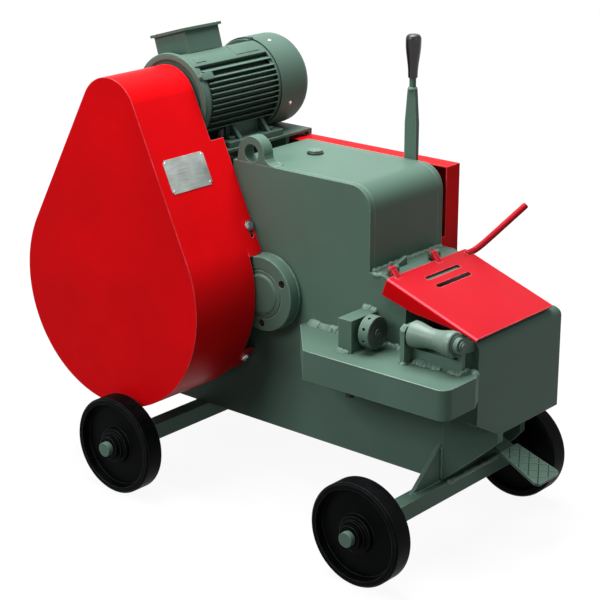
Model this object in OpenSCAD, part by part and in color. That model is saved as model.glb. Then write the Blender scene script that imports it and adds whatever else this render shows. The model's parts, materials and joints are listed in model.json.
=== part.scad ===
// Steel bar shear on four wheels. A motor turns a flywheel through belts and two gear pairs turn a crank.
// The crank pushes a ram, and the ram's blade passes the fixed blade in the throat behind the nose.
// Lengths are in mm. X points to the nose, Y from the belt side to the far side, Z up from the floor.

/* [Body] */
// Width over the two side plates
body_width = 240; // [225:1:260]
// Thickness of each side plate
plate_thick = 15; // [10:1:18]
// Length from the nose face to the rear edge
body_length = 900; // [885:1:960]
// Distance from the nose face to the front of the tall part
tower_front = 268; // [255:1:285]
// Distance from the nose face to the rear of the tall part
tower_back = 630; // [615:1:645]
// Radius of the tall part's top front edge
tower_round = 50; // [20:1:70]
// Height of the rear deck under the motor
deck_height = 620; // [590:1:640]
// Height of the tall part above the rear deck
tower_top = 68; // [50:1:100]
// Height of the ledge in front of the tall part
ledge_height = 517; // [510:1:530]
// Depth of the throat behind the nose block
throat_length = 132; // [125:1:145]
// Height of the throat notch in the side plates
notch_height = 392; // [380:1:398]
// Thickness of the sheets between the side plates
sheet_thick = 8; // [5:1:10]
// Thickness of the nose block
nose_thick = 45; // [35:1:55]
// Height of the nose block's top
nose_top = 435; // [420:1:445]
// Height of the nose block's bottom
nose_bottom = 217; // [205:1:225]
// Width of the nose block
nose_width = 288; // [270:1:310]
// Radius of the nose block's top front edge
nose_round = 25; // [5:1:35]
// Thickness of the bent front part of the near side plate
bow_thick = 12; // [8:1:15]

/* [Shelf] */
// Height of the bar shelf's top face
shelf_top = 374; // [362:0.5:380]
// Thickness of the bar shelf
shelf_thick = 61.5; // [40:0.5:80]
// How far the shelf reaches out from the body
shelf_reach = 130; // [115:1:160]
// Distance from the nose face to the shelf's rear end
shelf_back = 434; // [420:1:445]
// Radius of the shelf's front corner
shelf_round = 22; // [10:1:40]
// Radius of the feed roller's ends
roller_radius = 26; // [20:1:27]
// Radius of the feed roller's waist
roller_waist = 20; // [14:1:24]
// Length of the feed roller
roller_length = 100; // [80:1:100]
// Radius of the feed roller's pin
roller_pin_radius = 8; // [5:0.5:10]
// Radius of the stop screw's knob
knob_radius = 33; // [20:1:35]
// Radius of the stop screw's stem
stop_stem_radius = 10; // [6:0.5:14]
// Travel of the stop screw
stop_travel = 20; // [10:1:22]

/* [Wheels] */
// Radius of the wheels
wheel_radius = 104.5; // [95:0.5:112]
// Width of the wheels
wheel_width = 45; // [30:1:55]
// Distance between the axles
wheelbase = 648; // [620:1:690]
// Distance from the nose face to the front axle
front_axle_back = 83; // [75:1:92]
// Side of the square axle tube
axle_size = 35; // [32:1:42]
// Radius of the wheel spindles
spindle_radius = 15; // [10:0.5:18]
// Distance from the near side plate to the near wheels
near_reach = 232; // [226:1:260]
// Distance from the far side plate to the far wheels
far_reach = 12; // [8:1:40]

/* [Drive] */
// Distance from the nose face to the flywheel's axis
flywheel_back = 787; // [780:1:795]
// Height of the flywheel's axis
flywheel_height = 418; // [410:1:425]
// Radius of the flywheel
flywheel_radius = 225; // [200:1:235]
// Width of the flywheel's rim
flywheel_width = 115; // [80:1:130]
// Radius of the flywheel's shaft
shaft_radius = 27.5; // [22:0.5:30]
// Distance from the nose face to the motor's axis
motor_back = 772; // [765:1:780]
// Height of the motor's axis above the rear deck
motor_height = 177; // [175:1:200]
// Outer radius of the motor's finned housing
motor_radius = 98; // [90:1:99]
// Length of the motor's finned housing
motor_length = 205; // [190:1:220]
// Radius of the motor's shaft
motor_shaft_radius = 14; // [10:0.5:18]
// Outer radius of the motor's pulley
pulley_radius = 51; // [42:1:60]
// Width of a belt across its outer face
belt_width = 12.6; // [10:0.2:14]
// Thickness of a belt
belt_depth = 10; // [7:0.5:11]
// Distance between neighbouring belts
belt_pitch = 19; // [17:0.5:21]
// Teeth of the flywheel's pinion
pinion_teeth = 16; // [15:1:17]
// Teeth of the countershaft's gear
gear_teeth = 52; // [50:1:53]
// Tooth module of the first gear pair
gear_module = 5; // [4.9:0.05:5.1]
// Teeth of the countershaft's pinion
second_pinion_teeth = 14; // [13:1:15]
// Teeth of the crank gear
crank_gear_teeth = 50; // [48:1:51]
// Tooth module of the second gear pair
crank_gear_module = 6; // [5.9:0.05:6.1]
// Radius of the countershaft
counter_radius = 22; // [16:0.5:24]

/* [Crank and ram] */
// Distance from the nose face to the crank's axis
crank_back = 527; // [520:1:532]
// Height of the crank's axis
crank_height = 424; // [420:1:428]
// Radius of the crank's journals
journal_radius = 40; // [32:0.5:44]
// Throw of the crank
crank_throw = 25; // [15:1:27]
// Radius of the crank's eccentric
eccentric_radius = 45; // [36:0.5:47]
// Thickness of the bronze ring on the eccentric
ring_thick = 10; // [6:0.5:12]
// Width of the ram
ram_width = 100; // [80:1:110]
// Height of the ram
ram_height = 90; // [80:1:96]
// Width and height of the blades
blade_size = 70; // [50:1:74]
// Thickness of the blades
blade_thick = 25.8; // [18:0.2:30]
// Radius of the bearing cap
cap_radius = 80; // [70:1:84]
// How far the bearing cap stands out from the near side plate
cap_reach = 32; // [20:1:34]

/* [Guards] */
// Sheet thickness of the belt guard
guard_thick = 3; // [2:0.5:4]
// Distance from the near side plate to the belt guard's face
guard_reach = 216; // [205:1:220]
// Distance from the near side plate to the belt guard's rear edge
guard_gap = 40; // [39:1:45]
// Radius of the belt guard round the flywheel
guard_radius = 250; // [242:1:260]
// Radius of the belt guard round the pulley
guard_top_radius = 77; // [66:1:85]
// Depth of the far cover
far_cover_depth = 58; // [50:1:64]
// Sheet thickness of the far cover
far_cover_thick = 2.5; // [1.5:0.5:3]
// Sheet thickness of the blade guard
blade_guard_thick = 3; // [2:0.5:4]
// Height of the blade guard's near flange at its rear
flange_height = 34; // [15:1:40]
// Radius of the blade guard's hinge pin
hinge_pin_radius = 4; // [2.5:0.5:5]
// Radius of the blade guard's rod handle
handle_radius = 7; // [4:0.5:8]

/* [Controls] */
// Width of the hand lever's bar
lever_width = 30; // [20:1:36]
// Thickness of the hand lever's bar
lever_thick = 10; // [6:1:11]
// Height of the hand lever's pivot
lever_pivot_height = 470; // [460:1:500]
// Height of the hand lever's grip end
lever_top = 947; // [900:1:980]
// Length of the grip
grip_length = 90; // [70:1:120]
// Radius of the grip at its end
grip_radius = 16.5; // [12:0.5:20]
// Radius of the lever's pivot shaft
lever_shaft_radius = 12; // [8:0.5:15]
// Length of the pedal's tread
tread_length = 106; // [80:1:115]
// Width of the pedal's tread at its front edge
tread_width = 81; // [60:1:90]
// Radius of the pedal's shaft
pedal_shaft_radius = 8; // [5:0.5:10]

/* [Fits] */
// Radial clearance of shafts and pins that turn
run_clear = 0.05; // [0.02:0.01:0.1]
// Clearance round the ram and between the blades
slide_clear = 0.3; // [0.2:0.05:0.6]
// Clearance round bolts
bolt_clear = 0.4; // [0.2:0.1:0.8]

/* [Hidden] */
$fn = 72;

// Places along the body
body_bottom = wheel_radius + axle_size / 2;
throat_front = -nose_thick;
throat_rear = -nose_thick - throat_length;
rear_x = -body_length;
near_in = plate_thick;
far_in = body_width - plate_thick;
mid_y = body_width / 2;
tower_z = deck_height + tower_top;
motor_z = deck_height + motor_height;
bow_start = -80;
bow_end_y = 75;
bow_top = shelf_top - shelf_thick;
bow_front_bottom = 200;
bow_across = bow_thick * norm([bow_start, bow_end_y]) / -bow_start;

// Shaft centres in the X Z plane
flywheel_at = [-flywheel_back, flywheel_height];
motor_at = [-motor_back, motor_z];
crank_at = [-crank_back, crank_height];
first_distance = gear_module * (pinion_teeth + gear_teeth) / 2;
second_distance = crank_gear_module * (second_pinion_teeth + crank_gear_teeth) / 2;
crank_gap = norm(crank_at - flywheel_at);
counter_along = (pow(first_distance, 2) - pow(second_distance, 2) + pow(crank_gap, 2)) / (2 * crank_gap);
counter_down = sqrt(pow(first_distance, 2) - pow(counter_along, 2));
gap_dir = (crank_at - flywheel_at) / crank_gap;
counter_at = flywheel_at + counter_along * gap_dir + counter_down * [gap_dir[1], -gap_dir[0]];
first_angle = atan2(counter_at[1] - flywheel_at[1], counter_at[0] - flywheel_at[0]);
second_angle = atan2(crank_at[1] - counter_at[1], crank_at[0] - counter_at[0]);

// Gears across the body
gear_near = near_in + 5;
gear_width = 40;
crank_gear_near = body_width + 15;
crank_gear_width = 28;
tooth_play = 0.6;

// Belts
belt_inset = 4;
belt_gap = 0.3;
belt_slope = 18;
belt_first_y = -70;
pulley_pitch = pulley_radius - belt_inset;
flywheel_pitch = flywheel_radius - belt_inset;
flywheel_back_y = -55;
pulley_back_y = -57;
pulley_width = 2 * belt_pitch + 23;
belt_span = norm(motor_at - flywheel_at);
belt_base = atan2(motor_at[1] - flywheel_at[1], motor_at[0] - flywheel_at[0]);

// Crank and ram
bush_thick = 8;
bush_radius = journal_radius + bush_thick;
ecc_half = 54;
ring_radius = eccentric_radius + ring_thick;
yoke_clear = 5.7;
yoke_wall = 22;
yoke_rise = ring_radius + crank_throw + 5;
yoke_at = crank_at - [crank_throw, 0];
ram_back = yoke_at[0] - ring_radius - yoke_clear - yoke_wall;
ram_stroke = 2 * crank_throw;
fixed_edge = throat_front - 50;
moving_edge = fixed_edge + 4 - ram_stroke;
blade_low = crank_height - blade_size / 2;
bed_top = crank_height - ram_height / 2 - 3;
bed_thick = 36;
fixed_top = nose_top - 5;
blade_back_y = mid_y - slide_clear - blade_thick;
collar_radius = 60;
gear_seat_radius = 35;

// Bearings of the flywheel shaft and the countershaft
bearing_thick = 12;
housing_reach = 45;

// Guards
guard_base = belt_base;
guard_turn = acos((guard_radius - guard_top_radius) / belt_span);
guard_front_angle = guard_base - guard_turn;
guard_front_foot = flywheel_at + guard_radius * [cos(guard_front_angle), sin(guard_front_angle)];
tab_length = 245;
tab_bolt_s = 39;
tab_bolt_y = -14;
bracket_thick = 6;
bracket_width = 40;
rim_bolt_angles = [-38, 250];
rim_bolt_y = -14;
tab_low = -24;
tab_round = 10;
rim_tab_half = 30;
tab_edge = -2;
guard_bolt_radius = 4;
far_cover_y = body_width + far_cover_depth;
far_cover_low = 225;
far_cover_top = tower_z - 6;
far_cover_back = rear_x - 5;

// Blade guard
hinge_at = [-tower_front + 38, ledge_height + 9];
guard_front_at = [-3, nose_top + 2];
guard_rear_at = [-tower_front + 48, ledge_height - 4];
guard_run = norm(guard_front_at - guard_rear_at);
guard_slope = atan2(guard_front_at[1] - guard_rear_at[1], guard_front_at[0] - guard_rear_at[0]);
guard_near_y = -8;
guard_far_y = body_width + 18;
ledge_break = -tower_front + 32;
ledge_front = ledge_height + (throat_rear - ledge_break) * tan(guard_slope);
slot_at = [38, 67];
slot_half = 4.5;
slot_near = 76;
slot_far = 186;
knuckle_y = [12, 149];
knuckle_width = 16;
knuckle_radius = 7;

// Fittings on the top
eye_at = [-580, tower_z + 21];
eye_radius = 35;
eye_bore = 19;
eye_thick = 28;
plug_x = -532;
plug_y = 147;

// Shelf fittings
shelf_front = 16;
roller_at = [-44, shelf_top + 60];
roller_mid = throat_front - 30;
roller_front = roller_mid + roller_length / 2;
roller_back = roller_mid - roller_length / 2;
stop_at = [-knob_radius - 13, shelf_top + knob_radius + 9];
stop_block_back = -279;
stop_block_front = -246;
stop_block_near = stop_at[0] - 38;
stop_block_top = stop_at[1] + 26;
knob_gap = 13;
knob_width = 23;

// Controls
lever_x = -355;
lever_y = body_width + 1;
lever_at = [lever_x, lever_pivot_height];
neck_top = lever_top - grip_length;
pedal_at = [throat_front - 17, 195];
pedal_slope = -22;
tread_start = 62;
tread_thick = 6;
tread_top = tread_thick - 1;
lug_gap_near = 78;
lug_gap_far = 162;
lug_width = 12;

// Motor
shaft_height = 100;
base_top = motor_z - shaft_height;
base_thick = 6;
base_back = 113;
base_front = 107;
base_near = -10;
base_far = 294;
base_lip = 13;
leg_thick = 10;
leg_inset = 5;
foot_width = 40;
foot_out = 100;
foot_near = 35;
foot_far = 205;
foot_rib_thick = 9;
foot_rib_at = [70, 160];
rib_foot_half = 98;
rib_top_half = 62;
rib_rise = 55;
rib_gap_half = 60;
rib_gap_rise = 8;
stator_near = 40;
stator_far = 165;
bolt_out = 80;
bolt_near = 60;
bolt_far = 180;
fin_depth = 16;
fin_thick = 3.2;
cowl_length = 100;
cowl_wall = 2;
cowl_round = 26;
cowl_back = motor_length + cowl_length;
foot_thick = 13;
shield_thick = 25;
stator_radius = motor_radius - 20;
rotor_radius = stator_radius - 28;
motor_bolt_radius = 5;
motor_bolt_at = [for (x = [-bolt_out, bolt_out]) for (y = [bolt_near, bolt_far]) [x - motor_back, y]];
motor_core = motor_radius - 12;
box_tilt = -16;
box_low = motor_core + 2;
box_near = 1;
box_length = 102;
box_width = 92;
box_height = 47;
gland_radius = 10;

// Wheels and axles
axle_height = wheel_radius;
front_axle_x = -front_axle_back;
rear_axle_x = -front_axle_back - wheelbase;
near_wheel_in = -near_reach;
far_wheel_in = body_width + far_reach;
hub_proud = 4;
hub_inside = 6;
collar_thick = 8;
spindle_proud = 12;
gusset_thick = 8;
gusset_rise = 79;
gusset_reach = 95;
near_end = near_wheel_in - wheel_width - hub_proud - collar_thick - spindle_proud;
far_end = far_wheel_in + wheel_width + hub_proud + collar_thick + spindle_proud;

// The origin is under the middle of the whole part
part_front = pedal_at[0] + (tread_start + tread_length) * cos(pedal_slope) - tread_top * sin(pedal_slope);
part_back = -flywheel_back - guard_radius;
handle_tip_y = guard_far_y + 122;
shift_x = -(part_front + part_back) / 2;
shift_y = -(near_end + max(far_end, handle_tip_y)) / 2;

// Helper shapes
function dir(a) = [cos(a), sin(a)];
module place() {
    translate([shift_x, shift_y, 0]) children();
}
module along_y(y0, y1) {
    translate([0, y1, 0]) rotate([90, 0, 0]) linear_extrude(y1 - y0) children();
}
module along_x(x0, x1) {
    translate([x0, 0, 0]) rotate([90, 0, 90]) linear_extrude(x1 - x0) children();
}
module spin_y(at, y) {
    translate([at[0], y, at[1]]) rotate([-90, 0, 0]) rotate_extrude() children();
}
module rod_y(at, r, y0, y1) {
    translate([at[0], y0, at[1]]) rotate([-90, 0, 0]) cylinder(r = r, h = y1 - y0);
}
module ring_y(at, r_in, r_out, y0, y1) {
    difference() {
        rod_y(at, r_out, y0, y1);
        rod_y(at, r_in, y0 - 1, y1 + 1);
    }
}
// at holds Y and Z
module rod_x(at, r, x0, x1) {
    translate([x0, at[0], at[1]]) rotate([0, 90, 0]) cylinder(r = r, h = x1 - x0);
}
module block(lo, hi) {
    translate(lo) cube(hi - lo);
}
module two_discs(c1, r1, c2, r2) {
    d = norm(c2 - c1);
    base = atan2(c2[1] - c1[1], c2[0] - c1[0]);
    turn = acos((r1 - r2) / d);
    translate(c1) circle(r1);
    translate(c2) circle(r2);
    polygon([c1 + r1 * dir(base - turn), c1 + r1 * dir(base + turn),
        c2 + r2 * dir(base + turn), c2 + r2 * dir(base - turn)]);
}
// Local frame on the belt guard's front: X points out of the sheet, Z up along it
module on_guard_front() {
    translate([flywheel_at[0], 0, flywheel_at[1]]) rotate([0, -guard_front_angle, 0]) children();
}
module on_guard_rim(a) {
    translate([flywheel_at[0], 0, flywheel_at[1]]) rotate([0, -a, 0]) children();
}

// Side plate outline in X and Z, the front below the throat left to each plate
module plate_outline() {
    difference() {
        union() {
            polygon([[rear_x, body_bottom], [bow_start, body_bottom], [bow_start, bow_top],
                [throat_front, bow_top],
                [throat_front, notch_height], [throat_rear, notch_height], [throat_rear, ledge_front],
                [ledge_break, ledge_height], [-tower_front, ledge_height], [-tower_front,
                    tower_z - tower_round],
                [-tower_front - tower_round, tower_z], [-tower_back, tower_z], [-tower_back, deck_height],
                [rear_x, deck_height]]);
            translate([-tower_front - tower_round, tower_z - tower_round]) circle(tower_round);
        }
    }
}
module nose_outline() {
    difference() {
        polygon([[0, nose_top], [nose_width, nose_top], [nose_width, nose_bottom], [78, nose_bottom],
            [0, nose_bottom + 44]]);
        translate([nose_width - 20, nose_top - 20]) difference() {
            square(21);
            circle(20);
        }
    }
}
module nose_solid() {
    difference() {
        along_x(throat_front, 0) nose_outline();
        difference() {
            block([-nose_round, -1, nose_top - nose_round], [1, nose_width + 1, nose_top + 1]);
            rod_y([-nose_round, nose_top - nose_round], nose_round, -2, nose_width + 2);
        }
    }
}

// The near side plate, with its front end bent inwards to the nose
module near_side_plate() {
    color("darkseagreen") place() difference() {
        union() {
            along_y(0, near_in) plate_outline();
            difference() {
                linear_extrude(bow_top) polygon([[bow_start, 0], [0, bow_end_y], [0,
                    bow_end_y + bow_across],
                    [bow_start, bow_across]]);
                along_y(-1, bow_end_y + 40) polygon([[bow_start - 1, -1], [1, -1], [1, bow_front_bottom],
                    [bow_start, body_bottom], [bow_start - 1, body_bottom]]);
                along_x(throat_front, 1) polygon([[-1, nose_bottom + 44.6], [0, nose_bottom + 44], [78,
                    nose_bottom],
                    [150, nose_bottom], [150, bow_top + 1], [-1, bow_top + 1]]);
            }
        }
        rod_y(crank_at, bush_radius, -1, near_in + 1);
        rod_y(flywheel_at, shaft_radius + run_clear + bearing_thick, -1, near_in + 1);
        rod_y(counter_at, counter_radius + run_clear + bearing_thick, -1, near_in + 1);
        for (a = [30 : 120 : 270]) rod_y(crank_at + 64 * dir(a), 5 + bolt_clear, -1, near_in - 2);
    }
}
module far_side_plate() {
    color("darkseagreen") place() difference() {
        along_y(far_in, body_width) union() {
            plate_outline();
            polygon([[bow_start - 1, body_bottom], [bow_start, body_bottom], [throat_front,
                body_bottom + 41],
                [throat_front, bow_top + 1], [bow_start - 1, bow_top + 1]]);
        }
        rod_y(crank_at, bush_radius, far_in - 1, body_width + 1);
        rod_y(flywheel_at, shaft_radius + run_clear + bearing_thick, far_in - 1, body_width + 1);
        rod_y(counter_at, counter_radius + run_clear + bearing_thick, far_in - 1, body_width + 1);
        rod_y(lever_at, lever_shaft_radius + run_clear, far_in - 1, body_width + 1);
    }
}
module top_cover() {
    color("darkseagreen") place() difference() {
        along_y(near_in, far_in) difference() {
            union() {
                polygon([[-tower_front, ledge_height], [-tower_front, tower_z - tower_round],
                    [-tower_front - tower_round, tower_z], [-tower_back, tower_z], [-tower_back,
                        deck_height],
                    [-tower_back + sheet_thick, deck_height], [-tower_back + sheet_thick, ledge_height]]);
                translate([-tower_front - tower_round, tower_z - tower_round]) circle(tower_round);
            }
            polygon([[-tower_front - sheet_thick, ledge_height - 1],
                [-tower_front - sheet_thick, tower_z - tower_round], [-tower_front - tower_round,
                    tower_z - sheet_thick],
                [-tower_back + sheet_thick, tower_z - sheet_thick], [-tower_back + sheet_thick,
                    ledge_height - 1]]);
            translate([-tower_front - tower_round,
                tower_z - tower_round]) circle(tower_round - sheet_thick);
        }
        translate([plug_x, plug_y, tower_z - 20]) cylinder(r = 9 + bolt_clear, h = 40);
    }
}
module belly_plate() {
    color("darkseagreen") place() block([rear_x, near_in, body_bottom], [bow_start, far_in,
        body_bottom + sheet_thick]);
}
module rear_cover_plate() {
    color("darkseagreen") place() union() {
        block([rear_x, near_in, body_bottom + sheet_thick], [rear_x + sheet_thick, far_in, deck_height]);
        block([rear_x, near_in, deck_height - sheet_thick], [-tower_back, far_in, deck_height]);
    }
}
module nose_block() {
    color("darkseagreen") place() nose_solid();
}

// Throat floor with the anvil for the fixed blade and the pedal's lugs
module throat_bed() {
    color("darkseagreen") place() difference() {
        union() {
            block([throat_rear, near_in, bed_top - bed_thick], [throat_front, far_in, bed_top]);
            block([fixed_edge, 40, bed_top - 1], [throat_front, blade_back_y, fixed_top]);
            for (y = [lug_gap_near - lug_width, lug_gap_far]) {
                along_y(y, y + lug_width) union() {
                    translate(pedal_at) circle(15);
                    translate([pedal_at[0] - 15, pedal_at[1]]) square([30,
                        bed_top - bed_thick + 1 - pedal_at[1]]);
                }
            }
        }
        rod_y(pedal_at, pedal_shaft_radius + run_clear, lug_gap_near - lug_width - 1,
            lug_gap_far + lug_width + 1);
    }
}
module fixed_blade() {
    color("silver") place() block([fixed_edge, blade_back_y, bed_top],
        [throat_front, mid_y - slide_clear, fixed_top]);
}
module ram_housing() {
    color("darkseagreen") place() difference() {
        along_y(near_in, far_in) polygon([[-tower_front, bed_top - bed_thick], [throat_rear,
            bed_top - bed_thick],
            [throat_rear, ledge_front], [ledge_break, ledge_height], [-tower_front, ledge_height]]);
        block([-tower_front - 1, mid_y - ram_width / 2 - slide_clear,
            crank_height - ram_height / 2 - slide_clear],
            [throat_rear + 1, mid_y + ram_width / 2 + slide_clear,
                crank_height + ram_height / 2 + slide_clear]);
    }
}

// Shelf for the bar, welded to the near side plate
module bar_shelf() {
    color("darkseagreen") place() translate([0, 0,
        shelf_top - shelf_thick]) linear_extrude(shelf_thick) union() {
        polygon([[-shelf_back, 0], [-shelf_back, -0.13 * shelf_reach], [-shelf_back + 0.79 * shelf_reach,
            -shelf_reach],
            [shelf_front - shelf_round, -shelf_reach], [shelf_front, shelf_round - shelf_reach],
            [shelf_front, -0.25 * shelf_reach], [0, 0]]);
        translate([shelf_front - shelf_round, shelf_round - shelf_reach]) circle(shelf_round);
    }
}
module stop_block() {
    color("darkseagreen") place() difference() {
        block([stop_block_back, stop_block_near, shelf_top], [stop_block_front, 0, stop_block_top]);
        rod_x(stop_at, stop_stem_radius + run_clear, stop_block_back - 1, stop_block_front + 1);
    }
}
module roller_brackets() {
    color("darkseagreen") place() difference() {
        union() {
            along_x(roller_back - 15, roller_back - 5) polygon([[roller_at[0] - 22, shelf_top], [0,
                shelf_top],
                [0, roller_at[1] + 4], [-14, roller_at[1] + 16], [roller_at[0] - 14, roller_at[1] + 16],
                [roller_at[0] - 22, roller_at[1] + 8]]);
            block([roller_back - 6, roller_at[0] + 4, shelf_top], [roller_front + 13, roller_at[0] + 14,
                shelf_top + 28]);
            block([roller_front + 3, roller_at[0] + 4, shelf_top], [roller_front + 13, roller_at[0] + 14,
                roller_at[1]]);
            along_x(roller_front + 3, roller_front + 13) union() {
                translate(roller_at) circle(16);
                polygon([[roller_at[0], roller_at[1] - 16], [0, roller_at[1] - 22], [0, roller_at[1] - 2],
                    roller_at + [5, 15]]);
            }
        }
        rod_x(roller_at, roller_pin_radius, roller_back - 16, roller_front + 14);
    }
}
module roller_pin() {
    color("silver") place() union() {
        rod_x(roller_at, roller_pin_radius, roller_back - 22, roller_front + 16);
        rod_x(roller_at, 10, roller_front + 13, roller_front + 17);
        rod_x(roller_at, 6.5, roller_front + 16, roller_front + 20);
        translate([roller_back - 23, roller_at[0], roller_at[1]]) rotate([0, 90, 0]) cylinder(r = 15,
            h = 8, $fn = 6);
    }
}
module lifting_eye() {
    color("darkseagreen") place() along_y(0, eye_thick) difference() {
        intersection() {
            union() {
                translate(eye_at) circle(eye_radius);
                polygon([eye_at + [-eye_radius, 0], [eye_at[0] - eye_radius - 5, tower_z - 1],
                    [eye_at[0] + 68, tower_z - 1], [eye_at[0] + 54, tower_z + 2], [eye_at[0] + 44,
                        tower_z + 6],
                    [eye_at[0] + 37, tower_z + 12], eye_at + [eye_radius - 1, 3]]);
            }
            translate([eye_at[0] - 100, tower_z]) square([200, 100]);
        }
        translate(eye_at) circle(eye_bore);
    }
}
module oil_plug() {
    color("silver") place() translate([plug_x, plug_y, 0]) union() {
        translate([0, 0, tower_z]) cylinder(r = 17, h = 3);
        translate([0, 0, tower_z + 2]) cylinder(r = 16, h = 6, $fn = 6);
        translate([0, 0, tower_z - sheet_thick - 6]) cylinder(r = 9, h = sheet_thick + 7);
    }
}

// Axles: square tubes with round spindles
module axle(x) {
    block([x - axle_size / 2, near_wheel_in + hub_inside + 0.5, axle_height - axle_size / 2],
        [x + axle_size / 2, far_wheel_in - hub_inside - 0.5, axle_height + axle_size / 2]);
    rod_y([x, axle_height], spindle_radius, near_end, far_end);
}
module front_axle() {
    color("darkseagreen") place() union() {
        axle(front_axle_x);
        along_x(front_axle_x - gusset_thick, front_axle_x) polygon([[0, body_bottom + gusset_rise],
            [-gusset_reach, body_bottom - 1], [0, body_bottom - 1]]);
    }
}
module rear_axle() {
    color("darkseagreen") place() axle(rear_axle_x);
}
module wheel_collars() {
    color("silver") place() for (x = [front_axle_x, rear_axle_x]) {
        ring_y([x, axle_height], spindle_radius, spindle_radius + 9, near_end + spindle_proud,
            near_end + spindle_proud + collar_thick);
        ring_y([x, axle_height], spindle_radius, spindle_radius + 9, far_end - spindle_proud - collar_thick,
            far_end - spindle_proud);
    }
}

// Bearing cap of the crank on the near side plate
module bearing_cap() {
    color("darkseagreen") place() difference() {
        union() {
            rod_y(crank_at, cap_radius, -cap_reach + 1.5, 0);
            spin_y(crank_at, -cap_reach) polygon([[0, -4], [journal_radius - 2, -4], [journal_radius + 1, -3],
                [journal_radius + 3, 0], [journal_radius + 10.5, 0], [journal_radius + 10.5, 1.5],
                [journal_radius + 14.5, 1.5], [journal_radius + 14.5, 0], [cap_radius - 1.5, 0],
                [cap_radius, 1.5], [cap_radius, 2.5], [0, 2.5]]);
            ring_y(crank_at, cap_radius - 1, cap_radius + 2, -6, -2);
        }
        rod_y(crank_at, bush_radius, -cap_reach + 4, 1);
        for (a = [30 : 120 : 270]) {
            rod_y(crank_at + 64 * dir(a), 5 + bolt_clear, -cap_reach - 1, 1);
            rod_y(crank_at + 64 * dir(a), 8 + bolt_clear, -cap_reach - 1, -cap_reach + 10);
        }
    }
}
module cap_screws() {
    color("dimgray") place() for (a = [30 : 120 : 270]) difference() {
        union() {
            rod_y(crank_at + 64 * dir(a), 8, -cap_reach + 2, -cap_reach + 10);
            rod_y(crank_at + 64 * dir(a), 5, -cap_reach + 9, near_in - 3);
        }
        translate([crank_at[0] + 64 * cos(a), -cap_reach + 1, crank_at[1] + 64 * sin(a)])
            rotate([-90, 0, 0]) cylinder(r = 4.5, h = 6, $fn = 6);
    }
}
module crank_bushes() {
    color("peru") place() union() {
        ring_y(crank_at, journal_radius + run_clear, bush_radius, -cap_reach + 4, near_in);
        ring_y(crank_at, journal_radius + run_clear, bush_radius, far_in - 10, body_width);
    }
}
module shaft_bearings() {
    color("silver") place() union() {
        difference() {
            union() {
                rod_y(flywheel_at, shaft_radius + run_clear + bearing_thick, -1, near_in);
                rod_y(flywheel_at, shaft_radius + 38, -16, 0);
                rod_y(flywheel_at, shaft_radius + 26, -housing_reach, -15);
            }
            rod_y(flywheel_at, shaft_radius + run_clear, -housing_reach - 1, near_in + 1);
        }
        ring_y(flywheel_at, shaft_radius + run_clear, shaft_radius + run_clear + bearing_thick, far_in,
            body_width);
        ring_y(counter_at, counter_radius + run_clear, counter_radius + run_clear + bearing_thick, 0,
            near_in);
        ring_y(counter_at, counter_radius + run_clear, counter_radius + run_clear + bearing_thick,
            far_in, body_width);
    }
}

// Belt guard: a pan round the flywheel and the pulley, open towards the body
module belt_guard() {
    color("red") place() difference() {
        union() {
            difference() {
                along_y(-guard_reach, -guard_gap)
                    two_discs(flywheel_at, guard_radius, motor_at, guard_top_radius);
                along_y(-guard_reach + guard_thick, -guard_gap + 1)
                    two_discs(flywheel_at, guard_radius - guard_thick, motor_at,
                        guard_top_radius - guard_thick);
            }
            on_guard_front() along_x(guard_radius - guard_thick, guard_radius) union() {
                polygon([[-guard_gap - 1, tab_low], [tab_edge - tab_round, tab_low], [tab_edge,
                    tab_low + tab_round],
                    [tab_edge, tab_length - 16], [-guard_gap - 1, tab_length - 16]]);
                translate([tab_edge - tab_round, tab_low + tab_round]) circle(tab_round);
            }
            for (a = rim_bolt_angles) on_guard_rim(a) along_x(guard_radius - guard_thick,
                guard_radius) union() {
                polygon([[-guard_gap - 1, -rim_tab_half], [tab_edge - tab_round, -rim_tab_half],
                    [tab_edge, tab_round - rim_tab_half], [tab_edge, rim_tab_half - tab_round],
                    [tab_edge - tab_round, rim_tab_half], [-guard_gap - 1, rim_tab_half]]);
                for (k = [-1, 1]) translate([tab_edge - tab_round, k * (rim_tab_half - tab_round)])
                    circle(tab_round);
            }
        }
        on_guard_front() union() {
            rod_x([tab_bolt_y, tab_bolt_s], guard_bolt_radius + bolt_clear, guard_radius - 9,
                guard_radius + 9);
            rod_x([tab_bolt_y, tab_bolt_s - 22], guard_bolt_radius + bolt_clear, guard_radius - 9,
                guard_radius + 9);
            block([guard_radius - 9, tab_bolt_y - guard_bolt_radius - bolt_clear, tab_bolt_s - 22],
                [guard_radius + 9, tab_bolt_y + guard_bolt_radius + bolt_clear, tab_bolt_s]);
        }
        for (a = rim_bolt_angles) on_guard_rim(a)
            rod_x([rim_bolt_y, 0], guard_bolt_radius + bolt_clear, guard_radius - 9, guard_radius + 9);
    }
}
module guard_brackets() {
    color("darkseagreen") place() union() {
        on_guard_front() difference() {
            block([guard_radius - guard_thick - bracket_thick, -36, tab_bolt_s - bracket_width / 2],
                [guard_radius - guard_thick, 0, tab_bolt_s + bracket_width / 2]);
            rod_x([tab_bolt_y, tab_bolt_s], guard_bolt_radius, guard_radius - 12, guard_radius + 1);
        }
        for (a = rim_bolt_angles) on_guard_rim(a) difference() {
            block([guard_radius - guard_thick - bracket_thick, -34, -bracket_width / 2],
                [guard_radius - guard_thick, 0, bracket_width / 2]);
            rod_x([rim_bolt_y, 0], guard_bolt_radius, guard_radius - 20, guard_radius + 1);
        }
    }
}
module guard_bolt() {
    rod_x([0, 0], guard_bolt_radius, -guard_thick - bracket_thick - 4, 1);
    translate([0, 0, 0]) rotate([0, 90, 0]) cylinder(r = 2 * guard_bolt_radius, h = 6, $fn = 6);
}
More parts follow.
